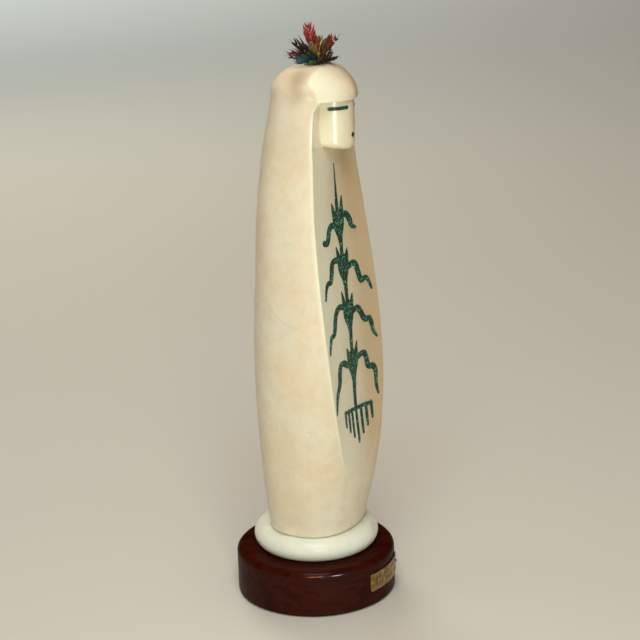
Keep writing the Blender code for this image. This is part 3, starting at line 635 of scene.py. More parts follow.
def alabaster():
    # Alabaster, carved, sanded and waxed: cream with soft pinkish clouds and pale greyish ones,
    # a low sheen on the mantle and a hand polish on the face, and light that sinks in a little.
    material, tree = newMaterial(
        "alabasterWaxed", Roughness=0.42, IOR=1.52, Subsurface_Weight=0.3, Subsurface_Scale=0.01,
        Subsurface_Radius=(1.0, 0.62, 0.35),
    )
    place = objectPlace(tree)
    clouds = noiseAt(tree, place, scale=13.0, detail=4.0, distortion=0.6)
    colour = ramp(tree, clouds, surface["clouds"])
    mottle = noiseAt(tree, place, scale=85.0, detail=6.0, roughness=0.62)
    mottle = remap(tree, mottle, low=0.45, high=0.75, most=0.42)
    colour = blend(tree, mottle, colour, surface["pinker"])
    grey = noiseAt(tree, place, scale=30.0, detail=5.0, distortion=1.5)
    grey = remap(tree, grey, low=0.55, high=0.78, most=0.32)
    colour = blend(tree, grey, colour, surface["greyer"])
    # stains where hands have darkened the wax, and painted shade in the crease under the fringe
    colour = blend(tree, attribute(tree, "stainsAndPaintedShade"), colour, surface["stainAndShadeColour"])
    colour = addMarks(tree, place, colour)
    # painted light on the hollowed front by her right ridge, painted shade towards her left ridge
    tone = attribute(tree, "paintedLightAndShade")
    colour = blend(tree, remap(tree, tone, high=-1.0), colour, surface["paintedLight"])
    colour = blend(tree, remap(tree, tone, most=0.75), colour, surface["paintedShade"])
    plug(tree, "Base Color", colour)
    polish = attribute(tree, "polish")
    gloss = remap(tree, polish, least=surface["sandedRoughness"], most=surface["polishedRoughness"])
    plug(tree, "Roughness", gloss)
    # sanding marks, drawn 1.2 mm apart so that they show, and nearly gone where it is polished
    grain = noiseAt(tree, place, scale=800.0, detail=3.0)
    rub = calculate(tree, "MULTIPLY_ADD", polish, *surface["rub"])
    addBump(tree, grain, rub, 0.6 * mm)
    return material


def paintedLightAndShade(share, x, forward):
    # the hollowed front gets painted light by her right ridge and painted shade towards her left
    # one
    width = panelHalfWidth(share)
    forward -= figure["lean"] * share
    inFront = smoothStep(*surface["inFront"], forward - stationAt(share)[4])
    inFront *= 1 - smoothStep(*surface["pastRidge"], abs(x) / width)
    foot = surface["footTone"]
    inFront *= foot + (1 - foot) * smoothStep(*surface["aboveFoot"], share)
    across = x / width
    shadedSide = smoothStep(*surface["shadeAcross"], across)
    return inFront * (shadedSide - 1 + smoothStep(*surface["lightAcross"], across))


def makeFigure():
    rings = figureRings()
    columns, rows = len(rings[0]), len(rings)
    feet = Vector((0, -stations[0][2] * figureHeight, figureFoot))
    bottom = crownPlace(figureHigh.z - figure["holeDepth"] * figureHeight)

    def placeOf(column, row):
        if row == 0:
            return feet
        if row > rows:
            return bottom
        x, forward, share = rings[row - 1][column % columns]
        point = Vector((
            x * figureHeight, -forward * figureHeight, figureFoot + share * figureHeight,
        ))
        slow = noise.noise(point * surface["slowWaves"])
        slow += 0.5 * noise.noise(point * surface["fastWaves"])
        hold = smoothStep(*surface["evenFoot"], share)
        hold *= 1 - smoothStep(*surface["evenHead"], share)
        out = Vector((x, -(forward - surface["wavesAbout"]), 0)).normalized()
        return leanForward(point - out * figure["unevenness"] * (1 + slow) * hold)

    bm = bmesh.new()
    gridSheet(bm, columns, rows + 1, placeOf)
    piece = newPiece("figureStone", bm, [alabaster()], 50)
    polish = piece.data.attributes.new("polish", "FLOAT", "POINT")
    # real stains together with painted shade in the crease under the fringe
    stainsAndShade = piece.data.attributes.new("stainsAndPaintedShade", "FLOAT", "POINT")
    # painted light and painted shade of the hollowed front, kept at each point
    tone = piece.data.attributes.new("paintedLightAndShade", "FLOAT", "POINT")
    half = figure["faceHalfWidth"] * figureHeight
    for i, vert in enumerate(piece.data.vertices):
        share = (vert.co.z - figureFoot) / figureHeight
        forward = -vert.co.y / figureHeight
        onFace, onFringe, crease = (
            smoothStep(*surface[name + "Up"], share)
            * smoothStep(*surface[name + "Forward"], forward)
            for name in ("face", "fringe", "crease")
        )
        polish.data[i].value = max(onFace, onFringe)
        tone.data[i].value = paintedLightAndShade(share, vert.co.x / figureHeight, forward)
        # painted shade in the crease under the fringe, added to the real stains
        crease *= 1 - smoothStep(*surface["creaseEnd"], share)
        crease *= 1 - smoothStep(half, half * surface["creaseFade"], abs(vert.co.x))
        stain = sum(
            dark * math.exp(-((vert.co / mm - Vector(spot)).length / reach) ** 2)
            for spot, reach, dark in surface["stains"]
        )
        stainsAndShade.data[i].value = min(surface["creaseShade"] * crease + stain, 1)
    settle(piece, "alabaster", "figure")
    say(f"figure of {len(piece.data.polygons)} faces")


# Inlays of crushed stone

plant = {
    "leafWidth": 6.1, "stalkWidth": 5.6, "barWidth": 3.8, "rootWidth": 5.0, "depth": 2.0,
    "proud": 0.05, "leafLevel": 0.88, "leafUpright": 1.35, "leafTip": 0.4, "bluntTip": 0.9,
    "taperFrom": 0.6, "taperShape": 1.5, "bractWidths": (1.35, 0.95, 0.2), "bractDrop": 4,
    "stalkTaper": ((0.7955, 0.2), (0.753, 0.45), (0.716, 0.75), (0.680, 1)),
    "stalkFoot": 0.272, "lean": 0.018, "uprightAt": 0.68, "joints": (0.680, 0.588, 0.490, 0.383),
    "rootSlope": 0.11, "rootTop": 0.9, "rootTip": 0.7,
    # the fields in mm that follow the curve of her front
    "field": 5, "fieldsAcross": (-60, 60), "fieldsUp": (130, 500),
    "grains": (
        (0.0, "#06281a"), (0.4, "#0a3a26"), (0.7, "#115038"), (0.86, "#1e7056"), (0.9, "#7cc4b0"),
    ),
    "patches": "#052416",
}

# thousandths of her height sideways and up from each joint of the stalk
leftLeaves = (
    ((0, -12), (-18, -11), (-33, -8), (-45, -16), (-51, -27), (-60, -38), (-74, -34)),
    ((0, 6), (-16, 8), (-36, 12), (-49, 6), (-56, -12), (-64, -25), (-79, -26), (-89, -35),
     (-97, -54)),
    ((0, 4), (-17, 7), (-38, 12), (-54, 5), (-64, -11), (-74, -33), (-90, -38), (-98, -50),
     (-105, -68)),
    ((0, -10), (-22, -10), (-41, 0), (-57, 0), (-65, -13), (-69, -34), (-84, -54), (-92, -72),
     (-97, -92)),
)
rightLeaves = (
    ((0, 4), (22, 5), (38, -1), (47, -14), (53, -27), (67, -34)),
    ((0, -14), (21, -14), (37, -11), (50, -17), (56, -31), (65, -55), (81, -54), (92, -60),
     (103, -82)),
    ((0, -10), (18, -11), (35, -9), (47, -17), (63, -40), (82, -45), (89, -56), (93, -75),
     (105, -90)),
    ((0, -6), (22, -5), (40, -2), (54, -9), (62, -35), (82, -43), (90, -57), (89, -84),
     (95, -106)),
)
bractTips = (
    ((-21, 35), (23, 43)), ((-21, 36), (24, 24)), ((-20, 40), (24, 25)), ((-22, 26), (23, 30)),
)
# rise and width at each joint, the bar that the roots hang from, and their places and lengths
jointShape = ((17, 16), (6, 38), (-8, 46), (-22, 37), (-34, 24), (-48, 15), (-64, 12))
rootBar = ((-53, 5), (0, 0), (45, -5), (68, -10))
roots = ((-51, 24), (-35, 40), (-19, 56), (0, 73), (22, 60), (44, 50), (66, 40))


def smoothLine(points, between):
    # a Catmull-Rom line through the points, each of them a tuple
    line = []
    for i in range(len(points) - 1):
        a, b = points[max(i - 1, 0)], points[i]
        c, d = points[i + 1], points[min(i + 2, len(points) - 1)]
        for step in range(between):
            t = step / between
            line.append(tuple(
                0.5 * (
                    2 * q + (r - p) * t + (2 * p - 5 * q + 4 * r - s) * t**2
                    + (3 * q - p - 3 * r + s) * t**3
                )
                for p, q, r, s in zip(a, b, c, d)
            ))
    return line + [points[-1]]


def roundEnds(line):
    # more points past each end, so that the stroke closes in a half circle
    def cap(end, inner, turns):
        x, z, width = end
        way = (Vector((x, z)) - Vector(inner[:2])).normalized()
        half = width / 2
        return [
            (x + way.x * half * math.sin(a), z + way.y * half * math.sin(a), width * math.cos(a))
            for a in turns
        ]

    turns = (0.6, 1.05, 1.45)
    return cap(line[0], line[1], turns[::-1]) + line + cap(line[-1], line[-2], turns)


def plantStrokes():
    unit = figureHeight / 1000
    foot = figureFoot + plant["stalkFoot"] * figureHeight

    def sideAt(share):
        return (share - plant["uprightAt"]) * plant["lean"] * figureHeight

    leafWidth, stalkWidth, rootWidth = (
        plant[name] * mm for name in ("leafWidth", "stalkWidth", "rootWidth")
    )
    stalk = [
        (sideAt(share), figureFoot + share * figureHeight, size * stalkWidth)
        for share, size in plant["stalkTaper"]
    ]
    footSide = sideAt(plant["stalkFoot"])
    strokes = [smoothLine(stalk + [(footSide, foot, stalkWidth)], 3)]
    for level, share in enumerate(plant["joints"]):
        z, side = figureFoot + share * figureHeight, sideAt(share)
        joint = [(side, z + rise * unit, width * unit) for rise, width in jointShape]
        strokes.append(smoothLine(joint, 3))
        for leaf in (leftLeaves[level], rightLeaves[level]):
            tip = plant["bluntTip" if leaf is leftLeaves[0] else "leafTip"]
            points = [(side + x * unit, z + rise * unit) for x, rise in leaf]
            strokes.append(leafStroke(smoothLine(points, 4), leafWidth, tip))
        wide, narrow, sharp = [leafWidth * share for share in plant["bractWidths"]]
        for x, rise in bractTips[level]:
            start = (side + 0.6 * x * unit, z - plant["bractDrop"] * unit, wide)
            middle = (side + 0.8 * x * unit, z + rise * unit / 2, narrow)
            tipPoint = (side + x * unit, z + rise * unit, sharp)
            strokes.append(roundEnds(smoothLine([start, middle, tipPoint], 4)))
    barWidth = plant["barWidth"] * mm
    bar = [(footSide + x * unit, foot + rise * unit, barWidth) for x, rise in rootBar]
    strokes.append(roundEnds(smoothLine(bar, 3)))
    for place, reach in roots:
        x = footSide + place * unit
        top = foot - place * unit * plant["rootSlope"]
        tipPoint = (x, foot - reach * unit, plant["rootTip"] * rootWidth)
        middle = (x, (top + tipPoint[1]) / 2, plant["rootTop"] * rootWidth)
        strokes.append(roundEnds([(x, top, plant["rootTop"] * rootWidth), middle, tipPoint]))
    return strokes


def leafStroke(points, width, tip):
    # wider where the leaf hangs than where it arches, and tapering from past its middle
    last = len(points) - 1
    line = []
    for i, (x, z) in enumerate(points):
        (x0, z0), (x1, z1) = points[max(i - 1, 0)], points[min(i + 1, last)]
        upright = abs(z1 - z0) / math.hypot(x1 - x0, z1 - z0)
        size = plant["leafLevel"] + (plant["leafUpright"] - plant["leafLevel"]) * upright
        taper = max((i / last - plant["taperFrom"]) / (1 - plant["taperFrom"]), 0)
        taper **= plant["taperShape"]
        line.append((x, z, width * size * (1 + (tip - 1) * taper)))
    return roundEnds(line)


def strokeSlab(points, thick):
    # a ribbon laid along the points, then drawn out into a slab
    bm = bmesh.new()
    last = len(points) - 1

    def placeOf(column, row):
        x, z, width = points[column]
        after, before = points[min(column + 1, last)], points[max(column - 1, 0)]
        ahead = Vector(after[:2]) - Vector(before[:2])
        side = Vector((-ahead.y, ahead.x)).normalized() * width * (0.5 - row)
        return (x + side.x, 0, z + side.y)

    gridSheet(bm, last, 1, placeOf)
    for vert in drawOut(bm):
        vert.co.y = thick
    bmesh.ops.recalc_face_normals(bm, faces=bm.faces)
    return bm


def crushedStone():
    # Malachite and turquoise chips set in resin and sanded flush: dark green with paler grains.
    # Real grains are 0.3 mm; they are drawn 1.3 mm across so that they show.
    material, tree = newMaterial(
        "crushedMalachite", Roughness=0.38, Specular_IOR_Level=0.3,
    )
    place = objectPlace(tree)
    cells = addNode(tree, "TexVoronoi", {"Vector": place, "Scale": 770.0, "Randomness": 1.0})
    pick = addNode(tree, "SeparateColor", {"Color": cells.outputs["Color"]})
    colour = ramp(tree, pick.outputs["Red"], plant["grains"])
    patches = noiseAt(tree, place, scale=130.0, detail=3.0)
    patches = remap(tree, patches, low=0.35, high=0.7, most=0.55)
    colour = blend(tree, patches, colour, plant["patches"])
    plug(tree, "Base Color", colour)
    addBump(tree, cells.outputs["Distance"], 0.15, 0.4 * mm)
    return material


def makePlant(material):
    rest = []
    for i, points in enumerate(plantStrokes()):
        bm = strokeSlab(points, plant["depth"] * mm)
        rest.append(newPiece(f"plantStroke{i}", bm, []))
    whole = rest.pop(0)
    helpers = bpy.data.collections.new("plantStrokes")
    for stroke in rest:
        helpers.objects.link(stroke)
    joined = whole.modifiers.new("joined", "BOOLEAN")
    joined.operation, joined.operand_type, joined.solver = "UNION", "COLLECTION", "EXACT"
    joined.collection = helpers
    bm = modifiedMesh(whole)
    for stroke in rest + [whole]:
        bpy.data.objects.remove(stroke)
    bpy.data.collections.remove(helpers)
    # the front of the joined slabs alone, cut into fields and drawn out again along her front
    behind = [face for face in bm.faces if face.normal.y > -0.9]
    bmesh.ops.delete(bm, geom=behind, context="FACES")
    bmesh.ops.remove_doubles(bm, verts=bm.verts, dist=0.04 * mm)
    bmesh.ops.dissolve_limit(bm, angle_limit=0.01, verts=bm.verts, edges=bm.edges)
    ranges = (((1, 0, 0), plant["fieldsAcross"]), ((0, 0, 1), plant["fieldsUp"]))
    for normal, (start, end) in ranges:
        for place in range(start, end, plant["field"]):
            cutAcross(bm, Vector(normal) * place * mm, normal, 0.01 * mm)
    bmesh.ops.triangulate(bm, faces=bm.faces)
    for vert in drawOut(bm):
        vert.co.y = plant["depth"] * mm
    for vert in bm.verts:
        share = (vert.co.z - figureFoot) / figureHeight
        front = frontSurface(share, vert.co.x / figureHeight) * figureHeight
        vert.co.y -= front + plant["proud"] * mm
        vert.co = leanForward(vert.co)
    piece = newPiece("cornPlant", bm, [material])
    settle(piece, "green_stone", "corn_inlay")
    say(f"plant of {len(piece.data.polygons)} faces")


eyes = {
    "from": 17.5, "to": 69.5, "height": 3.3, "depth": 1.4, "proud": 0.18, "edgeFall": 0.7,
    "share": 0.918, "slant": 0.6, "columns": 40, "rows": 6,
}


def facePoint(turn, z, out):
    # a point on the face at this turn from its middle, out from its surface
    half = figure["faceHalfWidth"] * figureHeight
    deep = figure["faceDepth"] * figureHeight
    x, y = half * math.sin(turn), deep * math.cos(turn)
    normal = Vector((math.sin(turn) / half, -math.cos(turn) / deep, 0)).normalized()
    return Vector((x, -(y + figure["faceForward"] * figureHeight), z)) + normal * out


def makeEyes(material):
    span = math.radians(eyes["to"] - eyes["from"])
    half = eyes["height"] * mm / 2
    mean = (figure["faceHalfWidth"] + figure["faceDepth"]) / 2 * figureHeight
    endTurn = half / mean
    columns, rows = eyes["columns"], eyes["rows"]
    middle = Vector((0, -figure["faceForward"] * figureHeight, 0))

    def placeOf(side, column, row):
        turn = math.radians(eyes["from"]) + span * column / columns
        nearEnd = min(column, columns - column) / columns * span
        fall = max(1 - nearEnd / endTurn, 0)
        reach = math.sqrt(max(1 - fall**2, 0.02))
        up = (2 * row / rows - 1) * reach
        z = figureFoot + eyes["share"] * figureHeight - eyes["slant"] * mm * column / columns
        crown = eyes["proud"] * mm * (1 - eyes["edgeFall"] * up**2) * min(reach + 0.2, 1)
        return facePoint(side * turn, z + up * half, crown)

    for side, name in ((-1, "Right"), (1, "Left")):
        bm = bmesh.new()
        gridSheet(bm, columns, rows, lambda column, row: placeOf(side, column, row))
        for vert in drawOut(bm):
            inward = middle - Vector((vert.co.x, vert.co.y, 0))
            vert.co += inward.normalized() * eyes["depth"] * mm
        for vert in bm.verts:
            vert.co = leanForward(vert.co)
        eye = newPiece("eye" + name, bm, [material], 60)
        settle(eye, "green_stone", "eye_inlay_" + name.lower())


mouth = {"depth": 1.4, "bevel": 0.1, "footWidth": 0.97, "rim": 0.02, "crown": 0.16, "steps": 32}


def makeMouth():
    # Jet, cut as a round plug and polished: near black with a small bright gloss.
    material, tree = newMaterial("jetPolished", Roughness=0.18, IOR=1.66)
    speckle = noiseAt(tree, objectPlace(tree), scale=900.0)
    tone = ramp(tree, speckle, ((0.3, "#0e0a08"), (0.7, "#241a14")))
    plug(tree, "Base Color", tone)
    low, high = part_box("mouth_inlay")
    radius = (high.z - low.z) / 2
    middle = (low + high) / 2
    depth, crown = mouth["depth"], mouth["crown"]
    profile = [(0, -depth), (mouth["footWidth"], -depth), (1, mouth["bevel"] - depth)]
    profile += [(1, -mouth["rim"])]
    profile += [(math.cos(a), crown * math.sin(a)) for a in (0.35, 0.7, 1.05, 1.35)]
    bm = bmesh.new()
    spinProfile(bm, [(r * radius, h * mm) for r, h in profile + [(0, crown)]], mouth["steps"])
    turn = Matrix.Rotation(math.pi / 2, 3, "X")
    turnAndMove(bm, turn, (middle.x, low.y, middle.z))
    settle(newPiece("mouth", bm, [material]), "dark_stone", "mouth_inlay")


# Stone ring and wooden base

stoneRing = {
    "flat": 0.6, "roundSteps": 12, "steps": 128,
    "clouds": ((0.3, "#f4f4e6"), (0.55, "#eeeedd"), (0.72, "#dfe0cc")),
    "pit": ((-29.8, -54.9, 55.1), 0.4, 1.1), "pitColour": "#8a8468",
}


def makeRing():
    # White marble, turned and polished: milky with faint greenish-grey clouds and a clear gloss.
    material, tree = newMaterial(
        "marblePolished", Roughness=0.3, IOR=1.5, Subsurface_Weight=0.2, Subsurface_Scale=0.008,
    )
    place = objectPlace(tree)
    clouds = noiseAt(tree, place, scale=26.0, detail=6.0, distortion=1.2)
    colour = ramp(tree, clouds, stoneRing["clouds"])
    pit = nearPoint(tree, place, *stoneRing["pit"])
    colour = blend(tree, pit, colour, stoneRing["pitColour"])
    plug(tree, "Base Color", colour)
    low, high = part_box("stone_ring")
    radius, edge = (high.x - low.x) / 2, (high.z - low.z) / 2
    middle, flat = (radius - edge, low.z + edge), radius * stoneRing["flat"]
    steps = stoneRing["roundSteps"]
    profile = [(0, low.z), (flat, low.z)] + quarterArc(middle, edge, -90, steps)
    profile += quarterArc(middle, edge, 0, steps)[1:] + [(flat, high.z), (0, high.z)]
    bm = bmesh.new()
    spinProfile(bm, profile, stoneRing["steps"])
    bmesh.ops.translate(bm, verts=bm.verts, vec=(0, (low.y + high.y) / 2, 0))
    settle(newPiece("stoneRing", bm, [material]), "marble", "stone_ring")


wood = {
    "topRound": 7.0, "footRound": 4.0, "flat": 0.5, "footSteps": 6, "topSteps": 12, "steps": 160,
    "grainTilt": (0.06, 0.04), "grainTurn": -52, "bandStretch": 0.04, "poreStretch": 0.07,
    "bands": ((0.30, "#2b0904"), (0.45, "#320c04"), (0.58, "#3c1206"), (0.72, "#2b0904")),
    "pores": "#150502",
}


def alongGrain(tree, place, stretch):
    turn = (*wood["grainTilt"], math.radians(wood["grainTurn"]))
    return addNode(
        tree, "Mapping", {"Vector": place, "Rotation": turn, "Scale": (1, stretch, stretch)},
        vector_type="TEXTURE",
    ).outputs[0]


def mahogany():
    # Mahogany, turned and lacquered: deep red-brown with darker growth bands, fine pores along
    # the grain and a clear satin coat.
    material, tree = newMaterial(
        "mahoganyLacquered", Roughness=0.5, Specular_IOR_Level=0.02, Coat_Weight=0.14,
        Coat_Roughness=0.17,
    )
    place = objectPlace(tree)
    bands = alongGrain(tree, place, wood["bandStretch"])
    bands = noiseAt(tree, bands, scale=4.0, detail=4.0, distortion=0.15)
    colour = ramp(tree, bands, wood["bands"])
    pores = noiseAt(tree, alongGrain(tree, place, wood["poreStretch"]), scale=70.0)
    dark = remap(tree, pores, low=0.56, high=0.72, most=0.6)
    colour = blend(tree, dark, colour, wood["pores"])
    plug(tree, "Base Color", colour)
    addBump(tree, pores, 0.08, 0.4 * mm, invert=True)
    return material


def makeWood():
    low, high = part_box("wood_base")
    radius = (high.x - low.x) / 2
    foot, top, flat = wood["footRound"] * mm, wood["topRound"] * mm, radius * wood["flat"]
    profile = [(0, 0), (flat, 0)]
    profile += quarterArc((radius - foot, foot), foot, -90, wood["footSteps"])
    profile += quarterArc((radius - top, high.z - top), top, 0, wood["topSteps"])
    profile += [(flat, high.z), (0, high.z)]
    bm = bmesh.new()
    spinProfile(bm, profile, wood["steps"])
    settle(newPiece("woodBase", bm, [mahogany()]), "wood", "wood_base")


# Brass plate

plate = {
    "length": 64.0, "height": 19.0, "thick": 1.0, "turn": 3.0, "corner": 2.2, "rim": 0.25,
    "gap": 0.2, "bends": 40, "margin": 7.5, "cutDepth": 0.3,
    "rows": ((4.0, 3.4, 0.8, 16), (-3.4, 5.2, 1.15, 12)),  # height, stroke height, width, count
    "leans": (-24, -10, 0, 10, 24),
    "tarnish": ((0.3, "#b89c6c"), (0.55, "#94784a"), (0.75, "#6a502e")),
    # (radius, height) points of a pin's shank, and its head: radius, rim and dome
    "pinInset": 3.2, "pinProud": 0.05,
    "shank": ((0, -9.0), (0.55, -8.6), (0.7, -8.2), (0.7, 0), (1.55, 0)), "head": (1.7, 0.12, 0.85),
}


def agedBrass():
    # Brass, rolled and engraved, aged: dull yellow-brown with darker tarnish clouds.
    material, tree = newMaterial("brassAged", Roughness=0.36, Metallic=1.0)
    tarnish = noiseAt(tree, objectPlace(tree), scale=160.0, detail=5.0, roughness=0.6)
    plug(tree, "Base Color", ramp(tree, tarnish, plate["tarnish"]))
    rough = remap(tree, tarnish, least=0.28, most=0.55)
    plug(tree, "Roughness", rough)
    return material


def blackFill():
    # Black enamel wiped into the engraving, matt.
    material, tree = newMaterial("enamelBlackWiped", Roughness=0.6)
    wiped = noiseAt(tree, objectPlace(tree), scale=900.0)
    tone = ramp(tree, wiped, ((0.35, "#0c0805"), (0.7, "#1e160e")))
    plug(tree, "Base Color", tone)
    return material


def flatPlate(length, height, thick):
    bm = bmesh.new()
    gridSheet(bm, 1, 1, lambda column, row: ((column - 0.5) * length, (row - 0.5) * height, 0))
    bmesh.ops.bevel(
        bm, geom=bm.verts[:], offset=plate["corner"] * mm, segments=6, profile=0.5,
        affect="VERTICES", material=-1,
    )
    bmesh.ops.translate(bm, verts=drawOut(bm), vec=(0, 0, thick))
    bmesh.ops.recalc_face_normals(bm, faces=bm.faces)
    rim = [edge for edge in bm.edges if all(vert.co.z > thick / 2 for vert in edge.verts)]
    bmesh.ops.bevel(
        bm, geom=rim, offset=plate["rim"] * mm, segments=2, profile=0.5, affect="EDGES",
        material=-1,
    )
    return bm


def plateStrokes(length, thick):
    # two rows of short strokes that aren't letters
    cutter = bmesh.new()
    draw = random.Random(7)
    span = length - 2 * plate["margin"] * mm
    for rowHeight, tall, wide, count in plate["rows"]:
        for i in range(count):
            if i % 5 == 3:
                continue  # gaps group the strokes
            x = -span / 2 + span * (i + 0.5) / count
            lean = draw.choice(plate["leans"])
            size = tall * draw.uniform(0.8, 1)
            turn = Matrix.Rotation(math.radians(lean), 4, "Z")
            place = Matrix.Translation((x, rowHeight * mm, thick))
            scale = Matrix.Diagonal((wide * mm, size * mm, plate["cutDepth"] * 2 * mm, 1))
            bmesh.ops.create_cube(cutter, size=1, matrix=place @ turn @ scale)
    return cutter


def makePlate():
    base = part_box("wood_base")
    baseRadius = (base[1].x - base[0].x) / 2
    radius = baseRadius + plate["gap"] * mm
    low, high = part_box("name_plate")
    middleHeight = (low.z + high.z) / 2
    brass, black = agedBrass(), blackFill()
    length, height, thick = plate["length"] * mm, plate["height"] * mm, plate["thick"] * mm
    flat = newPiece("brassPlate", flatPlate(length, height, thick), [brass, black])
    strokes = newPiece("plateStrokes", plateStrokes(length, thick), [black])
    cut = flat.modifiers.new("engraving", "BOOLEAN")
    cut.operation, cut.solver, cut.object = "DIFFERENCE", "EXACT", strokes
    cut.material_mode = "TRANSFER"
    bm = modifiedMesh(flat)
    bpy.data.objects.remove(flat)
    bpy.data.objects.remove(strokes)
    for i in range(1, plate["bends"]):
        x = -length / 2 + length * i / plate["bends"]
        cutAcross(bm, (x, 0, 0), (1, 0, 0), 0.002 * mm)
    bmesh.ops.triangulate(bm, faces=[face for face in bm.faces if len(face.verts) > 4])
    turn = math.radians(plate["turn"])
    for vert in bm.verts:
        angle = turn + vert.co.x / baseRadius
        out = radius + vert.co.z
        vert.co = (out * math.sin(angle), -out * math.cos(angle), middleHeight + vert.co.y)
    settle(newPiece("brassPlate", bm, [brass, black], 30), "brass", "name_plate")
    head, rim, dome = plate["head"]
    profile = list(plate["shank"]) + [(head, rim)]
    profile += [(head * math.cos(a), rim + dome * math.sin(a)) for a in (0.4, 0.8, 1.15, 1.4)]
    profile = [(r * mm, h * mm) for r, h in profile + [(0, rim + dome)]]
    for name, side in (("Right", -1), ("Left", 1)):
        angle = turn + side * (plate["length"] / 2 - plate["pinInset"]) * mm / baseRadius
        bm = bmesh.new()
        spinProfile(bm, profile, 24)
        out = Vector((math.sin(angle), -math.cos(angle), 0))
        spot = out * (radius + thick + plate["pinProud"] * mm) + Vector((0, 0, middleHeight))
        turnAndMove(bm, out.to_track_quat("Z", "Y").to_matrix(), spot)
        pin = newPiece("platePin" + name, bm, [brass])
        settle(pin, "brass", "plate_pin_" + name.lower())
    say("plate and pins")


# Feathers

feathers = (
    # colour, turn from her front to her left, lean, length and width in mm, twist, curl in mm
    ("red", -150, 14, 42, 9.0, 75, 0),
    ("ochre", 112, 20, 28, 7.5, 20, 0),
    ("yellow", -62, 17, 27, 2.8, 0, 5),
    ("brown", 44, 22, 29, 4.4, 60, 0),
    ("orange", 8, 31, 34, 4.8, 75, 0),
    ("rust", 49, 41, 36, 4.4, 60, -3),
    ("dark", 16, 73, 23, 3.4, 40, -4),
    ("dark", 66, 86, 22, 3.4, 10, 4),
    ("dark", -163, 50, 36, 8.0, 70, 0),
    ("dark", -136, 39, 31, 4.4, 60, 0),
    ("dark", 166, 47, 29, 4.0, 50, 0),
    ("rust", -145, 67, 36, 6.0, 60, 3),
    ("rust", -165, 79, 35, 6.0, 60, -3),
    ("teal", -116, 77, 31, 10.5, 60, 0),
    ("green", -95, 80, 21, 7.5, 45, 0),
    ("olive", -112, 52, 22, 6.0, 30, 0),
    ("brown", 104, 69, 26, 6.5, 10, 0),
    ("dark", 84, 50, 24, 5.5, 20, 0),
    ("ochre", -120, 24, 25, 6.0, 60, 0),
    ("olive", -62, 60, 15, 5.5, 40, 0),
    ("brown", 22, 52, 19, 5.5, 40, 0),
    ("dark", 48, 63, 16, 4.5, 20, 0),
    ("olive", 136, 62, 21, 6.0, 10, 0),
)
feather = {
    "quill": 0.35, "quillTaper": 0.75, "quillSteps": 14, "rootGap": 1.5, "rimGap": 0.65,
    "thick": 0.4, "vaneFrom": 0.14, "vaneTo": 0.9, "strippedTo": 0.42, "redWiden": 1.3,
    "tipLift": 78, "spread": (-9, 6), "shift": 0.9, "scatter": 0.35, "bow": (0.0, 0.1),
    "tones": (0, 0.1, 0.25, 0.5),
    # cut from stiff goose biots, which stand apart like fingers
    "biots": ("dark", "rust", "orange", "brown", "ochre"),
    # colour at the root, the middle and the tip of each dyed feather
    "red": ("#2e1408", "#9a2410", "#c42a1e"), "rust": ("#1e0c08", "#541b12", "#743022"),
    "ochre": ("#2a1a0a", "#6a4a1c", "#9a7838"), "orange": ("#2a140a", "#7c4214", "#8e3814"),
    "olive": ("#141206", "#3c3610", "#665820"), "yellow": ("#8c6a1c", "#cfae50", "#dcc070"),
    "brown": ("#1c120c", "#574028", "#806248"), "dark": ("#0c0808", "#2a1412", "#4e241f"),
    "teal": ("#0c2020", "#1c4a54", "#2c6472"), "green": ("#12260a", "#3d7a12", "#56901c"),
    # barbs a side over 24 mm of length and the fewest of them, their width in mm, degrees from
    # square across the quill at its root, how far they widen, how many cling together, and strays
    "softBarbs": {
        "over24": 10, "fewest": 8, "width": 1.6, "rootLift": 50, "widen": (0.95, 1.2),
        "clumps": (1, 2, 2, 3), "strays": 4,
    },
    "biotBarbs": {
        "over24": 0, "fewest": 7, "width": 2.5, "rootLift": 71, "widen": (0.9, 1.5),
        "clumps": (), "strays": 1,
    },
}


def dyedFeather(colour):
    # Goose biots and hackle, dyed: soft-sheened keratin, darker to the root, some barbs darker
    # than others.
    material, tree = newMaterial(
        colour + "DyedFeather", Roughness=0.5, Specular_IOR_Level=0.3, Sheen_Weight=0.15,
    )
    root, middle, tip = feather[colour]
    stops = ((0.08, root), (0.45, middle), (0.9, tip))
    tone = ramp(tree, attribute(tree, "along"), stops)
    streak = noiseAt(tree, objectPlace(tree), scale=600.0)
    streak = remap(tree, streak, low=0.4, high=0.7, most=0.45)
    dark = calculate(tree, "ADD", streak, attribute(tree, "shade"), use_clamp=True)
    plug(tree, "Base Color", blend(tree, dark, tone, root))
    return material


def quillLine(row, rank):
    # the bowed line of a quill, from its own place in the hole to where its tip shows
    _, turn, lean, length, _, _, curl = row
    turn, lean = math.radians(turn), math.radians(lean)
    rootTurn = 2 * math.pi * (rank + 0.5) / len(feathers) - math.pi
    reach = figure["holeRadius"] * figureHeight - feather["rimGap"] * mm
    reach *= 0.45 + 0.55 * min(lean / math.radians(60), 1)
    crown = crownPlace(figureHigh.z)
    spot = crown + Vector((math.sin(rootTurn), -math.cos(rootTurn), 0)) * reach
    way = Vector((math.sin(turn), -math.cos(turn), 0))
    sideways = Vector((-way.y, way.x, 0))
    outward = way * math.sin(lean)
    end = crown + (outward + Vector((0, 0, math.cos(lean)))) * length * mm + sideways * curl * mm
    bend = spot + Vector((0, 0, (0.12 + 0.3 * math.cos(lean) ** 2) * length * mm))
    bend += outward * 2.5 * mm - sideways * curl * 0.6 * mm
    return spot, bend, end, sideways


def quillAt(line, t):
    spot, bend, end, sideways = line
    point = spot * (1 - t) ** 2 + bend * 2 * t * (1 - t) + end * t**2
    ahead = ((bend - spot) * (1 - t) + (end - bend) * t).normalized()
    across = (sideways - ahead * sideways.dot(ahead)).normalized()
    return point, ahead, across


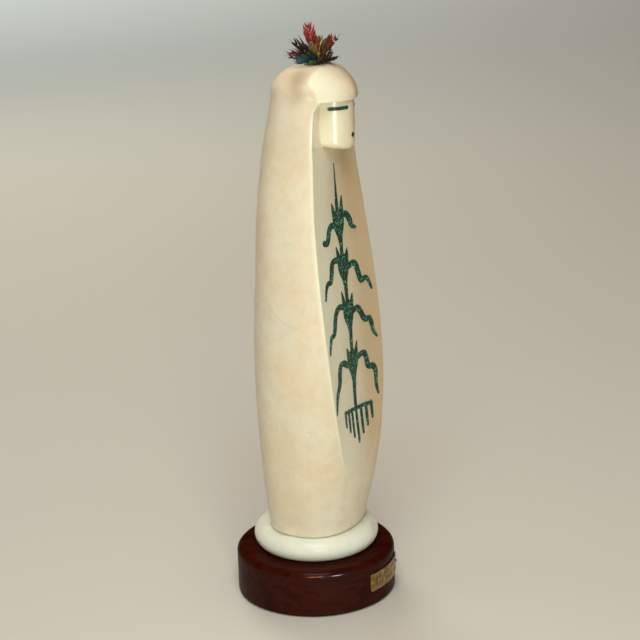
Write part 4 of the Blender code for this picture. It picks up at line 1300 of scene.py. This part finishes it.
def featherMesh():
    bm = bmesh.new()
    return bm, [bm.verts.layers.float.new(name) for name in ("along", "shade")]


def scatter(draw, spread):
    return Vector([draw.uniform(-spread, spread) for _ in range(3)])


def addBarb(bm, layers, start, end, bow, width, flat, face, tone, shade):
    # one barb: a small sphere drawn out along a bowed line, sharp at its far end
    made = bmesh.ops.create_uvsphere(bm, u_segments=4, v_segments=6, radius=1)["verts"]
    way = (end - start).normalized()
    across = way.cross(face).normalized()
    for vert in made:
        t = (vert.co.z + 1) / 2
        x, y = vert.co.x, vert.co.y
        point = start.lerp(end, t) + bow * 4 * t * (1 - t)
        point += across * x * width / 2 * (1.5 - 1.3 * t)
        vert.co = point + face * y * flat / 2 * (1.3 - 0.8 * t)
        vert[layers[0]] = tone[0] + (tone[1] - tone[0]) * t
        vert[layers[1]] = shade


def addShaft(bm, layers, line):
    # the quill, a six-sided tube from the bottom of the hole to the tip of the feather
    steps = feather["quillSteps"]
    holeDepth = figure["holeDepth"] * figureHeight - feather["rootGap"] * mm

    def placeOf(column, row):
        t = max((row - 1) / steps, 0)
        point, ahead, across = quillAt(line, t)
        if row == 0:
            point = line[0] - Vector((0, -figure["lean"], 1)) * holeDepth
        radius = feather["quill"] * mm * (1 - feather["quillTaper"] * t)
        angle = math.radians(60 * column)
        return point + (across * math.cos(angle) + ahead.cross(across) * math.sin(angle)) * radius

    for vert in gridSheet(bm, 6, steps + 1, placeOf):
        vert[layers[0]] = 0.5
    bmesh.ops.remove_doubles(bm, verts=bm.verts, dist=weldGap / 2)
    ends = [edge for edge in bm.edges if edge.is_boundary]
    bmesh.ops.holes_fill(bm, edges=ends, sides=0)


def barbEnd(line, row, kind, t, side, lift, widen):
    # where a barb that leaves the shaft at t ends, the way it bows and the way it faces
    length, width, twist = row[3] * mm, row[4] * mm, math.radians(row[5])
    point, ahead, across = quillAt(line, t)
    face = ahead.cross(across)
    blade = across * math.cos(twist) + face * math.sin(twist)
    shape = math.sin(math.pi * min(max(t - 0.02, 0) / 0.98, 1) ** 0.75) ** 0.6
    reach = width / 2 * shape * widen
    lift += kind["rootLift"] + (feather["tipLift"] - kind["rootLift"]) * t
    lift = math.radians(lift)
    way = blade * side * math.cos(lift) + ahead * math.sin(lift)
    size = min(reach / math.cos(lift), (1 - t) * length / math.sin(lift))
    return point + way * size, blade * side, blade.cross(ahead)


def addVane(bm, layers, line, row, side, draw):
    colour, length = row[0], row[3]
    kind = feather["biotBarbs" if colour in feather["biots"] else "softBarbs"]
    count = max(round(kind["over24"] * length / 24), kind["fewest"])
    vaneFrom = feather["vaneFrom"]
    vaneTo = feather["strippedTo" if colour == "yellow" else "vaneTo"]
    k = 0
    while k < count:
        clump = draw.choice(kind["clumps"]) if kind["clumps"] else 1
        spread = draw.uniform(*feather["spread"])
        widen = draw.uniform(*kind["widen"])
        if colour == "red":
            widen *= feather["redWiden"]
        share = (min(k + clump - 1, count) / count) * 0.9
        t = vaneFrom + (vaneTo - vaneFrom) * share
        tip, blade, normal = barbEnd(line, row, kind, t, side, spread, widen)
        shift = normal * draw.uniform(-feather["shift"], feather["shift"]) * mm
        tone = draw.choice(feather["tones"])
        for j in range(min(clump, count - k)):
            t = vaneFrom + (vaneTo - vaneFrom) * (k + j) / count
            point = quillAt(line, t)[0]
            end = tip + shift + scatter(draw, feather["scatter"]) * mm
            bow = blade * (end - point).length * draw.uniform(*feather["bow"])
            addBarb(
                bm, layers, point, end, bow, kind["width"] * mm,
                feather["thick"] * mm * draw.uniform(0.6, 1), normal,
                (t * 0.85, min(t + 0.35, 1)), min(tone + draw.uniform(0, 0.3), 1),
            )
        k += clump
    for _ in range(kind["strays"]):
        t = draw.uniform(0.45, 0.85) * vaneTo
        point, spread = quillAt(line, t)[0], draw.uniform(-20, -8)
        end, blade, normal = barbEnd(line, row, kind, t, side, spread, draw.uniform(1, 1.35))
        addBarb(
            bm, layers, point, end, blade * 0.4 * mm, 0.6 * mm, 0.3 * mm, normal,
            (t * 0.85, min(t + 0.3, 1)), draw.uniform(0, 0.5),
        )


def makeFeather(name, row, rank, material, draw):
    line = quillLine(row, rank)
    bm, layers = featherMesh()
    addShaft(bm, layers, line)
    for side in (-1, 1):
        addVane(bm, layers, line, row, side, draw)
    point, ahead, across = quillAt(line, 0.75)
    tip, face = quillAt(line, 1)[0], ahead.cross(across)
    addBarb(bm, layers, point, tip, Vector(), 1.5 * mm, 0.4 * mm, face, (0.8, 1), 0)
    return newPiece(name, bm, [material], 80)


def makeFeathers():
    draw = random.Random(3)
    ranked = sorted(feathers, key=lambda row: row[1])
    materials = {}
    counts = {}
    for row in feathers:
        colour = row[0]
        if colour not in materials:
            materials[colour] = dyedFeather(colour)
        counts[colour] = counts.get(colour, 0) + 1
        name = f"{colour}Feather{counts[colour]}"
        piece = makeFeather(name, row, ranked.index(row), materials[colour], draw)
        settle(piece, colour + "_feather", f"feather_{colour}_{counts[colour]}")
    makeDown(materials, draw)
    say(f"{len(feathers)} feathers")


down = {
    # colour, middle turn, half spread, count, length in mm
    "rows": (
        ("brown", 62, 60, 110, 12.0), ("olive", 30, 80, 110, 13.0), ("dark", 75, 70, 70, 11.0),
        ("olive", -95, 60, 130, 14.0), ("teal", -130, 45, 50, 12.0), ("dark", -110, 80, 60, 12.0),
        ("green", -85, 25, 30, 9.0),
    ),
    "width": 0.75, "thick": 0.3, "leans": (12, 84), "out": (0.5, 5.0), "up": 0.4, "bow": 1.0,
    "lengths": (0.5, 1.1), "widths": (0.6, 1.3),
}


def makeDown(materials, draw):
    # short fluffy barbs packed round the quills where they leave the hole
    lift = Vector((0, 0, down["up"] * mm))
    for number, (colour, middleTurn, spread, count, length) in enumerate(down["rows"], 1):
        bm, layers = featherMesh()
        for _ in range(count):
            turn = math.radians(middleTurn + draw.uniform(-spread, spread))
            lean = math.radians(draw.uniform(*down["leans"]))
            way = Vector((
                math.sin(turn) * math.sin(lean), -math.cos(turn) * math.sin(lean), math.cos(lean),
            ))
            out = Vector((way.x, way.y, 0)) * draw.uniform(*down["out"]) * mm
            start = crownPlace(figureHigh.z) + out + lift
            end = start + way * length * mm * draw.uniform(*down["lengths"])
            bow = scatter(draw, down["bow"]) * mm
            face = way.cross(Vector((0, 0, 1)).cross(way) + Vector((0.01, 0, 0))).normalized()
            addBarb(
                bm, layers, start, end, bow, down["width"] * mm * draw.uniform(*down["widths"]),
                down["thick"] * mm, face, (0.1, draw.uniform(0.3, 0.9)), draw.uniform(0, 0.4),
            )
        piece = newPiece(f"{colour}Down{number}", bm, [materials[colour]], 80)
        settle(piece, colour + "_feather")


addCamera()
addLights()
addFloor()
say("camera, lights and floor")
makeFigure()
stone = crushedStone()
makePlant(stone)
makeEyes(stone)
makeMouth()
makeRing()
makeWood()
makePlate()
makeFeathers()
for lightName in woodLights:
    linkLight(lightName, ["woodBase"])
bpy.context.view_layer.update()
